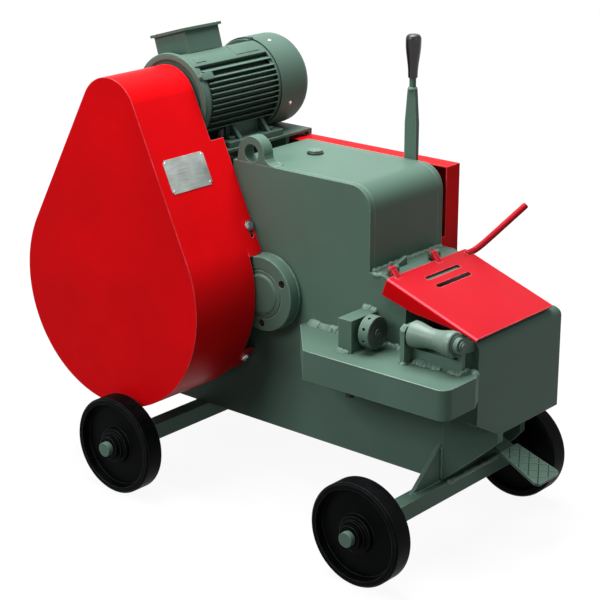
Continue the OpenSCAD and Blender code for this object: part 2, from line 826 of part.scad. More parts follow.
module guard_bolts() {
    color("silver") place() union() {
        on_guard_front() translate([guard_radius, tab_bolt_y, tab_bolt_s]) guard_bolt();
        for (a = rim_bolt_angles) on_guard_rim(a) translate([guard_radius, rim_bolt_y,
            0]) guard_bolt();
    }
}

// Cover over the crank gear, with a slot for the hand lever
module far_cover() {
    color("red") place() difference() {
        block([far_cover_back, body_width, far_cover_low], [-tower_front, far_cover_y, far_cover_top]);
        block([far_cover_back + far_cover_thick, body_width - 1, far_cover_low + far_cover_thick],
            [-tower_front - far_cover_thick, far_cover_y - far_cover_thick,
                far_cover_top - far_cover_thick]);
        block([lever_x - lever_width / 2 - 5, body_width - 1, far_cover_top - far_cover_thick - 1],
            [-tower_front + 1, lever_y + lever_thick + 2, far_cover_top + 1]);
        block([-tower_front - far_cover_thick - 1, body_width - 1, 534],
            [-tower_front + 1, lever_y + lever_thick + 2, far_cover_top + 1]);
    }
}

// Hinge of the blade guard: lugs on the ledge and their pins
module hinge_lugs() {
    color("darkseagreen") place() union() {
        for (y = knuckle_y) {
            along_y(y + knuckle_width + 0.5, y + knuckle_width + 10.5) union() {
                translate(hinge_at) circle(knuckle_radius);
                translate([hinge_at[0] - knuckle_radius, ledge_height])
                    square([2 * knuckle_radius, hinge_at[1] - ledge_height]);
            }
            rod_y(hinge_at, hinge_pin_radius, y - 2, y + knuckle_width + 2);
        }
    }
}
module blade_guard() {
    color("red") place() union() {
        difference() {
            translate([guard_rear_at[0], 0, guard_rear_at[1]]) rotate([0, -guard_slope, 0]) difference() {
                union() {
                    block([0, guard_near_y, 0], [guard_run, guard_far_y, blade_guard_thick]);
                    along_y(guard_near_y, guard_near_y + blade_guard_thick)
                        polygon([[0, 1], [3, -flange_height], [10, -flange_height], [guard_run * 0.34,
                            -flange_height * 0.85],
                            [guard_run * 0.8, -4], [guard_run - 4, 0], [guard_run, 1]]);
                }
                for (x = slot_at) {
                    block([x - slot_half, slot_near, -1], [x + slot_half, slot_far, blade_guard_thick + 1]);
                    for (y = [slot_near, slot_far]) translate([x, y, -1]) cylinder(r = slot_half,
                        h = blade_guard_thick + 2);
                }
            }
        }
        for (y = knuckle_y) {
            difference() {
                along_y(y, y + knuckle_width) union() {
                    translate(hinge_at) circle(knuckle_radius);
                    polygon([hinge_at + [0, 6], hinge_at + [0, -5.5], guard_rear_at + [4, 0],
                        guard_rear_at + [9, blade_guard_thick - 2.5]]);
                }
                rod_y(hinge_at, hinge_pin_radius + run_clear, y - 1, y + knuckle_width + 1);
            }
        }
        blade_guard_handle();
    }
}
module blade_guard_handle() {
    foot = guard_rear_at + 14 * dir(guard_slope);
    reach = handle_tip_y - guard_far_y - 16 - handle_radius;
    lean = 0.23 * reach;
    rise = 0.71 * reach;
    long = norm([lean, reach, rise]);
    translate([foot[0], guard_far_y - 14, foot[1] + 3]) {
        rotate([-90, 0, 0]) cylinder(r = handle_radius, h = 30);
        translate([0, 30, 0]) sphere(r = handle_radius + 0.4);
    }
    translate([foot[0], guard_far_y + 16, foot[1] + 3]) rotate([0, acos(rise / long), atan2(reach,
        lean)]) {
        cylinder(r = handle_radius, h = long);
        translate([0, 0, long]) sphere(r = handle_radius);
    }
}

// Motor on its base plate
module motor_base() {
    color("darkseagreen") place() difference() {
        union() {
            block([-motor_back - base_back, base_near, base_top - base_thick],
                [base_front - motor_back, base_far, base_top]);
            block([-motor_back - base_back, base_far - leg_thick, base_top - base_lip],
                [base_front - motor_back, base_far, base_top - 1]);
            for (y = [near_in + leg_inset, far_in - leg_inset - leg_thick])
                block([-motor_back - base_back + 6, y, deck_height],
                    [base_front - 2 - motor_back, y + leg_thick, base_top - base_thick + 1]);
        }
        for (b = motor_bolt_at) translate([b[0], b[1], base_top - 30])
            cylinder(r = motor_bolt_radius + bolt_clear, h = 40);
    }
}
module motor_housing() {
    color("darkseagreen") place() difference() {
        union() {
            along_y(0, motor_length) union() {
                translate(motor_at) circle(motor_core);
                for (a = [-52 : 8 : 76]) translate(motor_at) rotate(a)
                    translate([motor_radius - fin_depth, -fin_thick / 2]) square([fin_depth, fin_thick]);
                for (a = [142 : 8 : 230]) translate(motor_at) rotate(a)
                    translate([motor_radius - fin_depth, -fin_thick / 2]) square([fin_depth, fin_thick]);
            }
            for (x = [-foot_out, foot_out - foot_width]) block([x - motor_back, foot_near, base_top],
                [x - motor_back + foot_width, foot_far, base_top + foot_thick]);
            for (y = foot_rib_at) along_y(y, y + foot_rib_thick) translate([-motor_back, 0]) difference() {
                polygon([[-rib_foot_half, base_top + 1], [-rib_top_half, motor_z - rib_rise],
                    [rib_top_half, motor_z - rib_rise], [rib_foot_half, base_top + 1]]);
                translate([-rib_gap_half, base_top]) square([2 * rib_gap_half, rib_gap_rise]);
            }
        }
        rod_y(motor_at, stator_radius, -1, motor_length - 10);
        rod_y(motor_at, motor_shaft_radius + run_clear, motor_length - 11, motor_length + 1);
        for (b = motor_bolt_at) translate([b[0], b[1], base_top - 30])
            cylinder(r = motor_bolt_radius + bolt_clear, h = 60);
    }
}
module drive_end_shield() {
    color("darkseagreen") place() spin_y(motor_at, 0) polygon([[motor_shaft_radius + run_clear,
        -shield_thick],
        [40, -shield_thick], [46, -shield_thick + 6], [motor_radius - 18, -shield_thick + 9],
        [motor_radius - 3, -shield_thick + 17], [motor_radius - 3, 0], [motor_shaft_radius + run_clear,
            0]]);
}
module fan_cowl() {
    cowl_radius = motor_radius + cowl_wall;
    wall = cowl_wall;
    turn = cowl_round;
    color("darkseagreen") place() difference() {
        spin_y(motor_at, motor_length) difference() {
            polygon(concat([[0, 0], [cowl_radius, 0]],
                [for (a = [0 : 15 : 90]) [cowl_radius - turn, cowl_length - turn] + turn * dir(a)], [[0,
                    cowl_length]]));
            polygon(concat([[-1, -1], [cowl_radius - wall, -1]],
                [for (a = [0 : 15 : 90]) [cowl_radius - turn, cowl_length - turn] + (turn - wall) * dir(a)],
                [[-1, cowl_length - wall]]));
        }
        for (r = [18 : 14 : 60]) for (k = [0 : r / 2 - 1])
            rod_y(motor_at + r * dir(k * 720 / r), 4, cowl_back - 6, cowl_back + 1);
    }
}
module stator() {
    color("peru") place() ring_y(motor_at, rotor_radius + 0.7, stator_radius, stator_near, stator_far);
}
module motor_rotor() {
    color("silver") place() union() {
        rod_y(motor_at, motor_shaft_radius, pulley_back_y - pulley_width - 2, motor_length + 66);
        rod_y(motor_at, rotor_radius, stator_near, stator_far);
    }
}
module motor_fan() {
    color("dimgray") place() difference() {
        union() {
            rod_y(motor_at, 26, motor_length + 12, motor_length + 55);
            rod_y(motor_at, motor_radius - 13, motor_length + 12, motor_length + 15);
            for (k = [0 : 6]) translate([motor_at[0], 0, motor_at[1]]) rotate([0, k * 360 / 7, 0])
                block([20, motor_length + 13, -1.5], [motor_radius - 15, motor_length + 50, 1.5]);
        }
        rod_y(motor_at, motor_shaft_radius, motor_length, motor_length + 70);
    }
}

// Terminal box, tilted, on a saddle of the motor
module on_box() {
    translate([motor_at[0], 0, motor_at[1]]) rotate([0, box_tilt, 0]) children();
}
module terminal_box() {
    half = box_width / 2;
    color("darkseagreen") place() on_box() difference() {
        union() {
            block([-half, box_near, box_low], [half, box_near + box_length, box_low + box_height]);
            block([-32, box_near + 12, box_low - 20], [32, box_near + box_length - 12, box_low + 1]);
        }
        block([-half + 4, box_near + 4, box_low + 6], [half - 4, box_near + box_length - 4,
            box_low + box_height + 1]);
        rod_y([0, 0], motor_core, box_near - 1, box_near + box_length + 1);
        rod_y([0, box_low + 24], gland_radius + bolt_clear, box_near + box_length - 10,
            box_near + box_length + 10);
    }
}
module terminal_lid() {
    half = box_width / 2;
    low = box_low + box_height;
    color("darkseagreen") place() on_box() union() {
        block([-half - 5, box_near - 6, low], [half + 5, box_near + box_length + 6, low + 6]);
        block([-half + 4.5, box_near + 4.5, low - 4], [half - 4.5, box_near + box_length - 4.5, low + 1]);
    }
}
module cable_gland() {
    color("dimgray") place() on_box() translate([0, box_near + box_length, box_low + 24]) rotate([-90, 0,
        0]) difference() {
        union() {
            translate([0, 0, -8]) cylinder(r = gland_radius, h = 9);
            cylinder(r = gland_radius + 5, h = 7, $fn = 6);
            translate([0, 0, 6]) cylinder(r = gland_radius + 1, h = 12);
        }
        translate([0, 0, -9]) cylinder(r = gland_radius - 4, h = 40);
    }
}
module motor_bolts() {
    color("silver") place() for (b = motor_bolt_at) translate([b[0], b[1], 0]) union() {
        translate([0, 0, base_top + foot_thick]) cylinder(r = 2 * motor_bolt_radius, h = 6, $fn = 6);
        translate([0, 0, base_top - base_thick - 10]) cylinder(r = motor_bolt_radius,
            h = base_thick + foot_thick + 11);
        translate([0, 0, base_top - base_thick - 7]) cylinder(r = 2 * motor_bolt_radius, h = 7, $fn = 6);
    }
}

// Belts and their grooves
function belt_half(r, rim, gap) = belt_width / 2 + gap / cos(belt_slope) - (rim - 1 - r) * tan(belt_slope);
function groove(rim, y) = let(low = rim - 1 - belt_depth - 0.5) [[rim, y - belt_half(rim, rim, belt_gap)],
    [low, y - belt_half(low, rim, belt_gap)], [low, y + belt_half(low, rim, belt_gap)],
    [rim, y + belt_half(rim, rim, belt_gap)]];
function belt_y(k) = belt_first_y - k * belt_pitch;
// A belt in three steps that follow its slanted sides
module belt() {
    for (k = [1 : 3]) {
        depth = belt_depth * k / 3;
        half = belt_half(flywheel_radius - 1 - depth, flywheel_radius, 0);
        along_y(-half, half) difference() {
            two_discs(flywheel_at, flywheel_radius - 1, motor_at, pulley_radius - 1);
            two_discs(flywheel_at, flywheel_radius - 1 - depth, motor_at, pulley_radius - 1 - depth);
        }
    }
}
module v_belts() {
    color("black") place() for (k = [0 : 2]) translate([0, belt_y(k), 0]) belt();
}
module motor_pulley() {
    low = pulley_back_y - pulley_width;
    color("dimgray") place() spin_y(motor_at, 0) polygon(concat([[motor_shaft_radius, low],
        [pulley_radius, low]],
        groove(pulley_radius, belt_y(2)), groove(pulley_radius, belt_y(1)), groove(pulley_radius,
            belt_y(0)),
        [[pulley_radius, pulley_back_y], [motor_shaft_radius, pulley_back_y]]));
}
module flywheel() {
    low = flywheel_back_y - flywheel_width;
    web = (low + flywheel_back_y) / 2;
    color("dimgray") place() difference() {
        spin_y(flywheel_at, 0) polygon(concat([[shaft_radius, low + 4], [62, low + 4], [66, web - 12],
            [168, web - 12],
            [174, low], [flywheel_radius, low]], groove(flywheel_radius, belt_y(2)),
                groove(flywheel_radius, belt_y(1)),
            groove(flywheel_radius, belt_y(0)), [[flywheel_radius, flywheel_back_y], [174, flywheel_back_y],
            [168, web + 12], [66, web + 12], [62, flywheel_back_y - 4], [shaft_radius,
                flywheel_back_y - 4]]));
        for (k = [0 : 4]) rod_y(flywheel_at + 117 * dir(k * 72), 30, web - 30, web + 30);
    }
}

// Gears with involute flanks
function spread(a) = tan(a) * 180 / PI - a;
function tooth_half(m, z, r) = let(pitch = m * z / 2, base = pitch * cos(20))
    90 / z - tooth_play / (4 * pitch) * 180 / PI + spread(20) - spread(r > base ? acos(base / r) : 0);
function gear_points(m, z, phase) = let(low = m * z / 2 - 1.1 * m, high = m * z / 2 + 0.8 * m)
    [for (i = [0 : z - 1]) each concat(
        [for (k = [0 : 3]) let(r = low + (high - low) * k / 3)
            r * dir(phase + i * 360 / z - tooth_half(m, z, r))],
        [for (k = [3 : -1 : 0]) let(r = low + (high - low) * k / 3)
            r * dir(phase + i * 360 / z + tooth_half(m, z, r))])];
module gear_y(at, m, z, phase, y0, y1) {
    along_y(y0, y1) translate(at) polygon(gear_points(m, z, phase));
}
module flywheel_shaft() {
    low = flywheel_back_y - flywheel_width;
    color("silver") place() union() {
        rod_y(flywheel_at, shaft_radius, low - 14, body_width);
        gear_y(flywheel_at, gear_module, pinion_teeth, first_angle, gear_near, gear_near + gear_width);
        translate([flywheel_at[0], low - 12, flywheel_at[1]]) rotate([-90, 0, 0]) cylinder(r = 40,
            h = 16, $fn = 6);
    }
}
module countershaft() {
    color("silver") place() union() {
        rod_y(counter_at, counter_radius, 1, crank_gear_near + crank_gear_width);
        gear_y(counter_at, crank_gear_module, second_pinion_teeth, second_angle, crank_gear_near,
            crank_gear_near + crank_gear_width);
    }
}
module countershaft_gear() {
    color("dimgray") place() difference() {
        gear_y(counter_at, gear_module, gear_teeth, first_angle + 180 + 180 / gear_teeth, gear_near,
            gear_near + gear_width);
        rod_y(counter_at, counter_radius, gear_near - 1, gear_near + gear_width + 1);
        ring_y(counter_at, 42, 108, gear_near - 1, gear_near + 12);
        ring_y(counter_at, 42, 108, gear_near + gear_width - 12, gear_near + gear_width + 1);
    }
}
module crank_gear() {
    color("dimgray") place() difference() {
        gear_y(crank_at, crank_gear_module, crank_gear_teeth, second_angle + 180 + 180 / crank_gear_teeth,
            crank_gear_near, crank_gear_near + crank_gear_width);
        rod_y(crank_at, gear_seat_radius + run_clear, crank_gear_near - 1,
            crank_gear_near + crank_gear_width + 1);
        for (k = [0 : 5]) rod_y(crank_at + 96 * dir(k * 60), 24, crank_gear_near - 1,
            crank_gear_near + crank_gear_width + 1);
    }
}

// Crankshaft with its eccentric, clutch collar and gear seat
module crankshaft() {
    color("silver") place() union() {
        rod_y(crank_at, journal_radius, -cap_reach + 5, mid_y - ecc_half + 1);
        rod_y(yoke_at, eccentric_radius, mid_y - ecc_half, mid_y + ecc_half);
        rod_y(crank_at, journal_radius, mid_y + ecc_half - 1, body_width + 1);
        rod_y(crank_at, collar_radius, body_width + 1, crank_gear_near - 1);
        rod_y(crank_at, gear_seat_radius, crank_gear_near - 2, crank_gear_near + crank_gear_width + 1);
        rod_y(crank_at, gear_seat_radius + 15, crank_gear_near + crank_gear_width + 1,
            crank_gear_near + crank_gear_width + 4.5);
    }
}
module eccentric_ring() {
    color("peru") place() ring_y(yoke_at, eccentric_radius, ring_radius, mid_y - ram_width / 2,
        mid_y + ram_width / 2);
}
module ram() {
    half = ram_width / 2;
    window = ring_radius + yoke_clear;
    color("silver") place() union() {
        difference() {
            block([ram_back, mid_y - half, crank_height - yoke_rise - 18],
                [yoke_at[0] + window + yoke_wall, mid_y + half, crank_height + yoke_rise + 18]);
            block([yoke_at[0] - window, mid_y - half - 1, crank_height - yoke_rise],
                [yoke_at[0] + window, mid_y + half + 1, crank_height + yoke_rise]);
        }
        block([yoke_at[0] + window + 1, mid_y - half, crank_height - ram_height / 2],
            [moving_edge - blade_size, mid_y + half, crank_height + ram_height / 2]);
        block([moving_edge - blade_size - 1, mid_y + slide_clear + blade_thick,
            crank_height - ram_height / 2],
            [moving_edge - 9, mid_y + half, crank_height + ram_height / 2]);
    }
}
module moving_blade() {
    color("silver") place() block([moving_edge - blade_size, mid_y + slide_clear, blade_low],
        [moving_edge, mid_y + slide_clear + blade_thick, blade_low + blade_size]);
}

// Hand lever with its pivot shaft and trip arm
module hand_lever() {
    half = lever_width / 2;
    shoulder = lever_top - 184;
    taper_top = lever_top - 111;
    color("darkseagreen") place() union() {
        along_y(lever_y, lever_y + lever_thick) union() {
            translate(lever_at) circle(24);
            polygon([[lever_x - half, lever_at[1]], [lever_x + half, lever_at[1]], [lever_x + half,
                shoulder],
                [lever_x + 9, taper_top], [lever_x - 9, taper_top], [lever_x - half, shoulder]]);
            polygon([[lever_x, lever_at[1] + 14], [lever_x - 70, lever_at[1] + 10], [lever_x - 70,
                lever_at[1] - 10],
                [lever_x, lever_at[1] - 14]]);
        }
        translate([lever_x, lever_y + lever_thick / 2, taper_top - 6]) cylinder(r = 7,
            h = neck_top - taper_top + 6);
        rod_y(lever_at, lever_shaft_radius, far_in - 10, lever_y + 1);
    }
}
module lever_grip() {
    color("black") place() translate([lever_x, lever_y + lever_thick / 2, neck_top]) rotate_extrude()
        polygon(concat([[0, 0], [8.5, 0], [grip_radius - 1, grip_length - 18]],
            [for (a = [0 : 15 : 90]) [grip_radius - 8, grip_length - 8] + 8 * dir(a)], [[0, grip_length]]));
}
module pedal() {
    tread_mid = 118;
    tread_end = tread_start + tread_length;
    color("darkseagreen") place() union() {
        rod_y(pedal_at, pedal_shaft_radius, lug_gap_near - lug_width - 3, lug_gap_far + lug_width + 3);
        rod_y(pedal_at, pedal_shaft_radius + 6, lug_gap_near + 1, lug_gap_far - 1);
        translate([pedal_at[0], 0, pedal_at[1]]) rotate([0, -pedal_slope, 0]) union() {
            block([0, tread_mid - 22, -6], [tread_start + 20, tread_mid + 22, 2]);
            translate([0, 0, tread_top - tread_thick]) linear_extrude(tread_thick) polygon([[tread_start,
                tread_mid - 29], [tread_start, tread_mid + 29],
                [tread_end - 8, tread_mid + tread_width / 2], [tread_end, tread_mid + tread_width / 2 - 8],
                [tread_end, tread_mid - tread_width / 2 + 8], [tread_end - 8,
                    tread_mid - tread_width / 2]]);
        }
    }
}

// Feed roller and stop screw on the shelf
module feed_roller() {
    end = roller_length;
    color("darkseagreen") place() translate([roller_back, roller_at[0], roller_at[1]]) rotate([0, 90,
        0]) rotate_extrude()
        polygon([[roller_pin_radius + run_clear, 0], [roller_radius - 2, 0], [roller_radius, 2],
            [roller_radius, 12],
            [roller_waist + 2, end * 0.3], [roller_waist, end * 0.42], [roller_waist, end * 0.58],
            [roller_waist + 2, end * 0.7], [roller_radius, end - 12], [roller_radius, end - 2],
                [roller_radius - 2, end],
            [roller_pin_radius + run_clear, end]]);
}
module stop_screw() {
    knob_back = stop_block_front + knob_gap;
    color("silver") place() difference() {
        union() {
            rod_x(stop_at, stop_stem_radius, stop_block_back + 1, knob_back + 1);
            rod_x(stop_at, knob_radius, knob_back, knob_back + knob_width);
        }
        for (k = [0 : 7]) translate([knob_back + knob_width / 2, stop_at[0],
            stop_at[1]]) rotate([k * 45 + 22.5, 0, 0])
            translate([0, 0, knob_radius - 10]) cylinder(r = 3.5, h = 12);
    }
}

// Wheels: a rim, a dished disc and a hub
module wheel() {
    bore = spindle_radius + run_clear;
    rotate([-90, 0, 0]) rotate_extrude() polygon([[bore, -hub_inside], [spindle_radius + 17, -hub_inside],
        [spindle_radius + 17, 14], [wheel_radius - 18, 14], [wheel_radius - 14, 0], [wheel_radius - 4, 0],
        [wheel_radius, 4], [wheel_radius, wheel_width - 4], [wheel_radius - 4, wheel_width],
        [wheel_radius - 13, wheel_width], [wheel_radius - 17, wheel_width - 16], [spindle_radius + 25,
            wheel_width - 13],
        [spindle_radius + 22, wheel_width - 4], [spindle_radius + 15, wheel_width - 3],
        [spindle_radius + 15, wheel_width + hub_proud], [bore, wheel_width + hub_proud]]);
}
module near_wheel(x) {
    color("black") place() translate([x, near_wheel_in, axle_height]) mirror([0, 1, 0]) wheel();
}
module far_wheel(x) {
    color("black") place() translate([x, far_wheel_in, axle_height]) wheel();
}
module wheel_near_front() {
    near_wheel(front_axle_x);
}
module wheel_near_rear() {
    near_wheel(rear_axle_x);
}
module wheel_far_front() {
    far_wheel(front_axle_x);
}
module wheel_far_rear() {
    far_wheel(rear_axle_x);
}

near_side_plate();
far_side_plate();
top_cover();
belly_plate();
rear_cover_plate();
nose_block();
throat_bed();
fixed_blade();
ram_housing();
bar_shelf();
stop_block();
roller_brackets();
roller_pin();
lifting_eye();
oil_plug();
front_axle();
rear_axle();
wheel_collars();
bearing_cap();
cap_screws();
crank_bushes();
shaft_bearings();
belt_guard();
guard_brackets();
guard_bolts();
far_cover();
hinge_lugs();
motor_base();
motor_housing();
drive_end_shield();
fan_cowl();
stator();
terminal_box();
terminal_lid();
cable_gland();
motor_bolts();
v_belts();
wheel_near_front();
wheel_near_rear();
wheel_far_front();
wheel_far_rear();
flywheel();
flywheel_shaft();
motor_rotor();
motor_pulley();
motor_fan();
countershaft();
countershaft_gear();
crank_gear();
crankshaft();
eccentric_ring();
ram();
moving_blade();
hand_lever();
lever_grip();
pedal();
blade_guard();
feed_roller();
stop_screw();
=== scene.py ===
import json
import math

import bmesh
import bpy
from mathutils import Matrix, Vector


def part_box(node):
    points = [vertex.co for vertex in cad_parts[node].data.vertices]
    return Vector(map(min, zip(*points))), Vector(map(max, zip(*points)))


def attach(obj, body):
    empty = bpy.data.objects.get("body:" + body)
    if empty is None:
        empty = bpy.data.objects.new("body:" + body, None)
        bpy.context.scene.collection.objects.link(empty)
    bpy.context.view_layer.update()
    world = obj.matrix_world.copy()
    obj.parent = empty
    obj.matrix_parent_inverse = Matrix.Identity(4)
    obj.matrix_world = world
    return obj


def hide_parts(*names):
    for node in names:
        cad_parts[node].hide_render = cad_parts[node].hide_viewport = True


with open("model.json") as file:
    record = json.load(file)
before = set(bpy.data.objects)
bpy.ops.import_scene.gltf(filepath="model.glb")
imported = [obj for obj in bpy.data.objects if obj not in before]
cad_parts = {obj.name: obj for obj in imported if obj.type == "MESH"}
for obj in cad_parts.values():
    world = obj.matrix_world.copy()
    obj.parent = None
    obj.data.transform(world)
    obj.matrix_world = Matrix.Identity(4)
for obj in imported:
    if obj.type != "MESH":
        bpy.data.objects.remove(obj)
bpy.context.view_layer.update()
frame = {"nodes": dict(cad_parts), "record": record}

scene = bpy.context.scene

# Places are in millimetres: X from the nose face, Y from the near side plate, Z from the floor
NOSE_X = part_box("nose_block")[1].x
NEAR_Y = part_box("near_side_plate")[0].y
MM_PER_M = 1000


def at(x, y, z):
    """A place on the machine, in metres."""
    return Vector((NOSE_X + x / MM_PER_M, NEAR_Y + y / MM_PER_M, z / MM_PER_M))


def corners_of(node):
    """The low and high corners of a CAD node, as places to a tenth of a millimetre."""
    shifted = [(p.x - NOSE_X, p.y - NEAR_Y, p.z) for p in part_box(node)]
    return [tuple(round(v * MM_PER_M, 1) for v in corner) for corner in shifted]


def centre_of(node):
    """The centre of a CAD node's box, as a place."""
    return [round((a + b) / 2, 1) for a, b in zip(*corners_of(node))]


def heading(angle):
    """The direction at an angle, in degrees, as seen from the near side."""
    turn = math.radians(angle)
    return Vector((math.cos(turn), 0, math.sin(turn)))


# Camera
CAMERA_PLACE = (1781.5, -2621.1, 1587.9)
CAMERA_ELEVATION = math.radians(18.75)
CAMERA_AZIMUTH = math.radians(40.396)
CAMERA_LENS = 105.93


def make_camera():
    """The photograph's view."""
    data = bpy.data.cameras.new("camera")
    data.sensor_width = 36
    data.lens = CAMERA_LENS
    data.clip_start = 0.1
    data.clip_end = 100
    camera = bpy.data.objects.new("camera", data)
    camera.location = at(*CAMERA_PLACE)
    camera.rotation_euler = (math.pi / 2 - CAMERA_ELEVATION, 0, CAMERA_AZIMUTH)
    scene.collection.objects.link(camera)
    scene.camera = camera


# Light and floor, in metres
SKY_COLOUR = (0.95, 0.98, 1.0, 1)
SKY_LEVEL = 0.11
WHITE = (1, 1, 1, 1)
FLOOR_SIZE = 40
FLOOR_DROP = -0.0005
FLOOR_COLOUR = (0.07, 0.07, 0.07, 1)
# The floor's own white: its level under the machine and far away, and the distances between which it rises
FLOOR_LEVELS = (0.93, 1.0)
FLOOR_RISE = (0.7, 2.4)
# Name, place, target, size and power of each lamp
LAMPS = (
    ("top", (-0.45, 0.1, 3.4), (0, 0, 0.3), (2.6, 2.2), 195),
    ("key", (-0.9, -3.1, 2.5), (-0.1, 0, 0.6), (1.8, 1.4), 65),
    ("fill", (3.2, -0.6, 1.5), (0, 0, 0.4), (1.6, 1.6), 8.5),
)


def area_light(name, place, target, size, power):
    """A rectangular lamp turned towards target."""
    data = bpy.data.lights.new(name, "AREA")
    data.shape = "RECTANGLE"
    data.size = size[0]
    data.size_y = size[1]
    data.energy = power
    lamp = bpy.data.objects.new(name, data)
    lamp.location = place
    lamp.rotation_euler = (Vector(target) - Vector(place)).to_track_quat("-Z", "Y").to_euler()
    scene.collection.objects.link(lamp)


def make_lights():
    for lamp in LAMPS:
        area_light(*lamp)


def seen_directly(tree):
    """1 where the camera, a reflection or glass looks, 0 for light that falls on the machine."""
    path = tree.nodes.new("ShaderNodeLightPath")
    seen = path.outputs["Is Camera Ray"]
    for kind in ("Is Glossy Ray", "Is Transmission Ray"):
        either = tree.nodes.new("ShaderNodeMath")
        either.operation = "MAXIMUM"
        tree.links.new(seen, either.inputs[0])
        tree.links.new(path.outputs[kind], either.inputs[1])
        seen = either.outputs[0]
    return seen


def make_world():
    """White where it is seen, and a dim sky as light."""
    world = bpy.data.worlds.new("studio")
    world.use_nodes = True
    scene.world = world
    tree = world.node_tree
    tree.nodes.clear()
    node = tree.nodes.new
    link = tree.links.new
    output = node("ShaderNodeOutputWorld")
    sky = node("ShaderNodeBackground")
    sky.inputs["Color"].default_value = SKY_COLOUR
    sky.inputs["Strength"].default_value = SKY_LEVEL
    white = node("ShaderNodeBackground")
    white.inputs["Color"].default_value = WHITE
    white.inputs["Strength"].default_value = 1.0
    mix = node("ShaderNodeMixShader")
    link(seen_directly(tree), mix.inputs[0])
    link(sky.outputs[0], mix.inputs[1])
    link(white.outputs[0], mix.inputs[2])
    link(mix.outputs[0], output.inputs["Surface"])


def floor_material():
    """A dull floor that keeps the machine's shadow, with white added where it is seen."""
    material = bpy.data.materials.new("floor")
    material.use_nodes = True
    tree = material.node_tree
    tree.nodes.clear()
    node = tree.nodes.new
    link = tree.links.new
    output = node("ShaderNodeOutputMaterial")
    plain = node("ShaderNodeBsdfDiffuse")
    plain.inputs["Color"].default_value = FLOOR_COLOUR
    glow = node("ShaderNodeEmission")
    glow.inputs["Color"].default_value = WHITE
    coords = node("ShaderNodeTexCoord")
    away = node("ShaderNodeVectorMath")
    away.operation = "LENGTH"
    link(coords.outputs["Object"], away.inputs[0])
    level = node("ShaderNodeMapRange")
    level.interpolation_type = "SMOOTHSTEP"
    level.inputs["From Min"].default_value = FLOOR_RISE[0]
    level.inputs["From Max"].default_value = FLOOR_RISE[1]
    level.inputs["To Min"].default_value = FLOOR_LEVELS[0]
    level.inputs["To Max"].default_value = FLOOR_LEVELS[1]
    link(away.outputs["Value"], level.inputs["Value"])
    scale = node("ShaderNodeMath")
    scale.operation = "MULTIPLY"
    link(seen_directly(tree), scale.inputs[0])
    link(level.outputs[0], scale.inputs[1])
    link(scale.outputs[0], glow.inputs["Strength"])
    add = node("ShaderNodeAddShader")
    link(plain.outputs[0], add.inputs[0])
    link(glow.outputs[0], add.inputs[1])
    link(add.outputs[0], output.inputs["Surface"])
    return material


def make_floor():
    bm = bmesh.new()
    bmesh.ops.create_grid(bm, x_segments=2, y_segments=2, size=FLOOR_SIZE)
    mesh = bpy.data.meshes.new("floor")
    bm.to_mesh(mesh)
    bm.free()
    mesh.materials.append(floor_material())
    floor = bpy.data.objects.new("floor", mesh)
    floor.location = (0, 0, FLOOR_DROP)
    scene.collection.objects.link(floor)


# Materials
BEVEL_SAMPLES = 6
CORNER_SAMPLES = 4
# Turn of the surface, as a cosine, at which an edge starts to show and shows fully
EDGE_TURN = (0.995, 0.90)


def shade(colour, factor, plus=0.0):
    """A darker or lighter version of a colour."""
    return tuple(min(1, c * factor + plus) for c in colour)


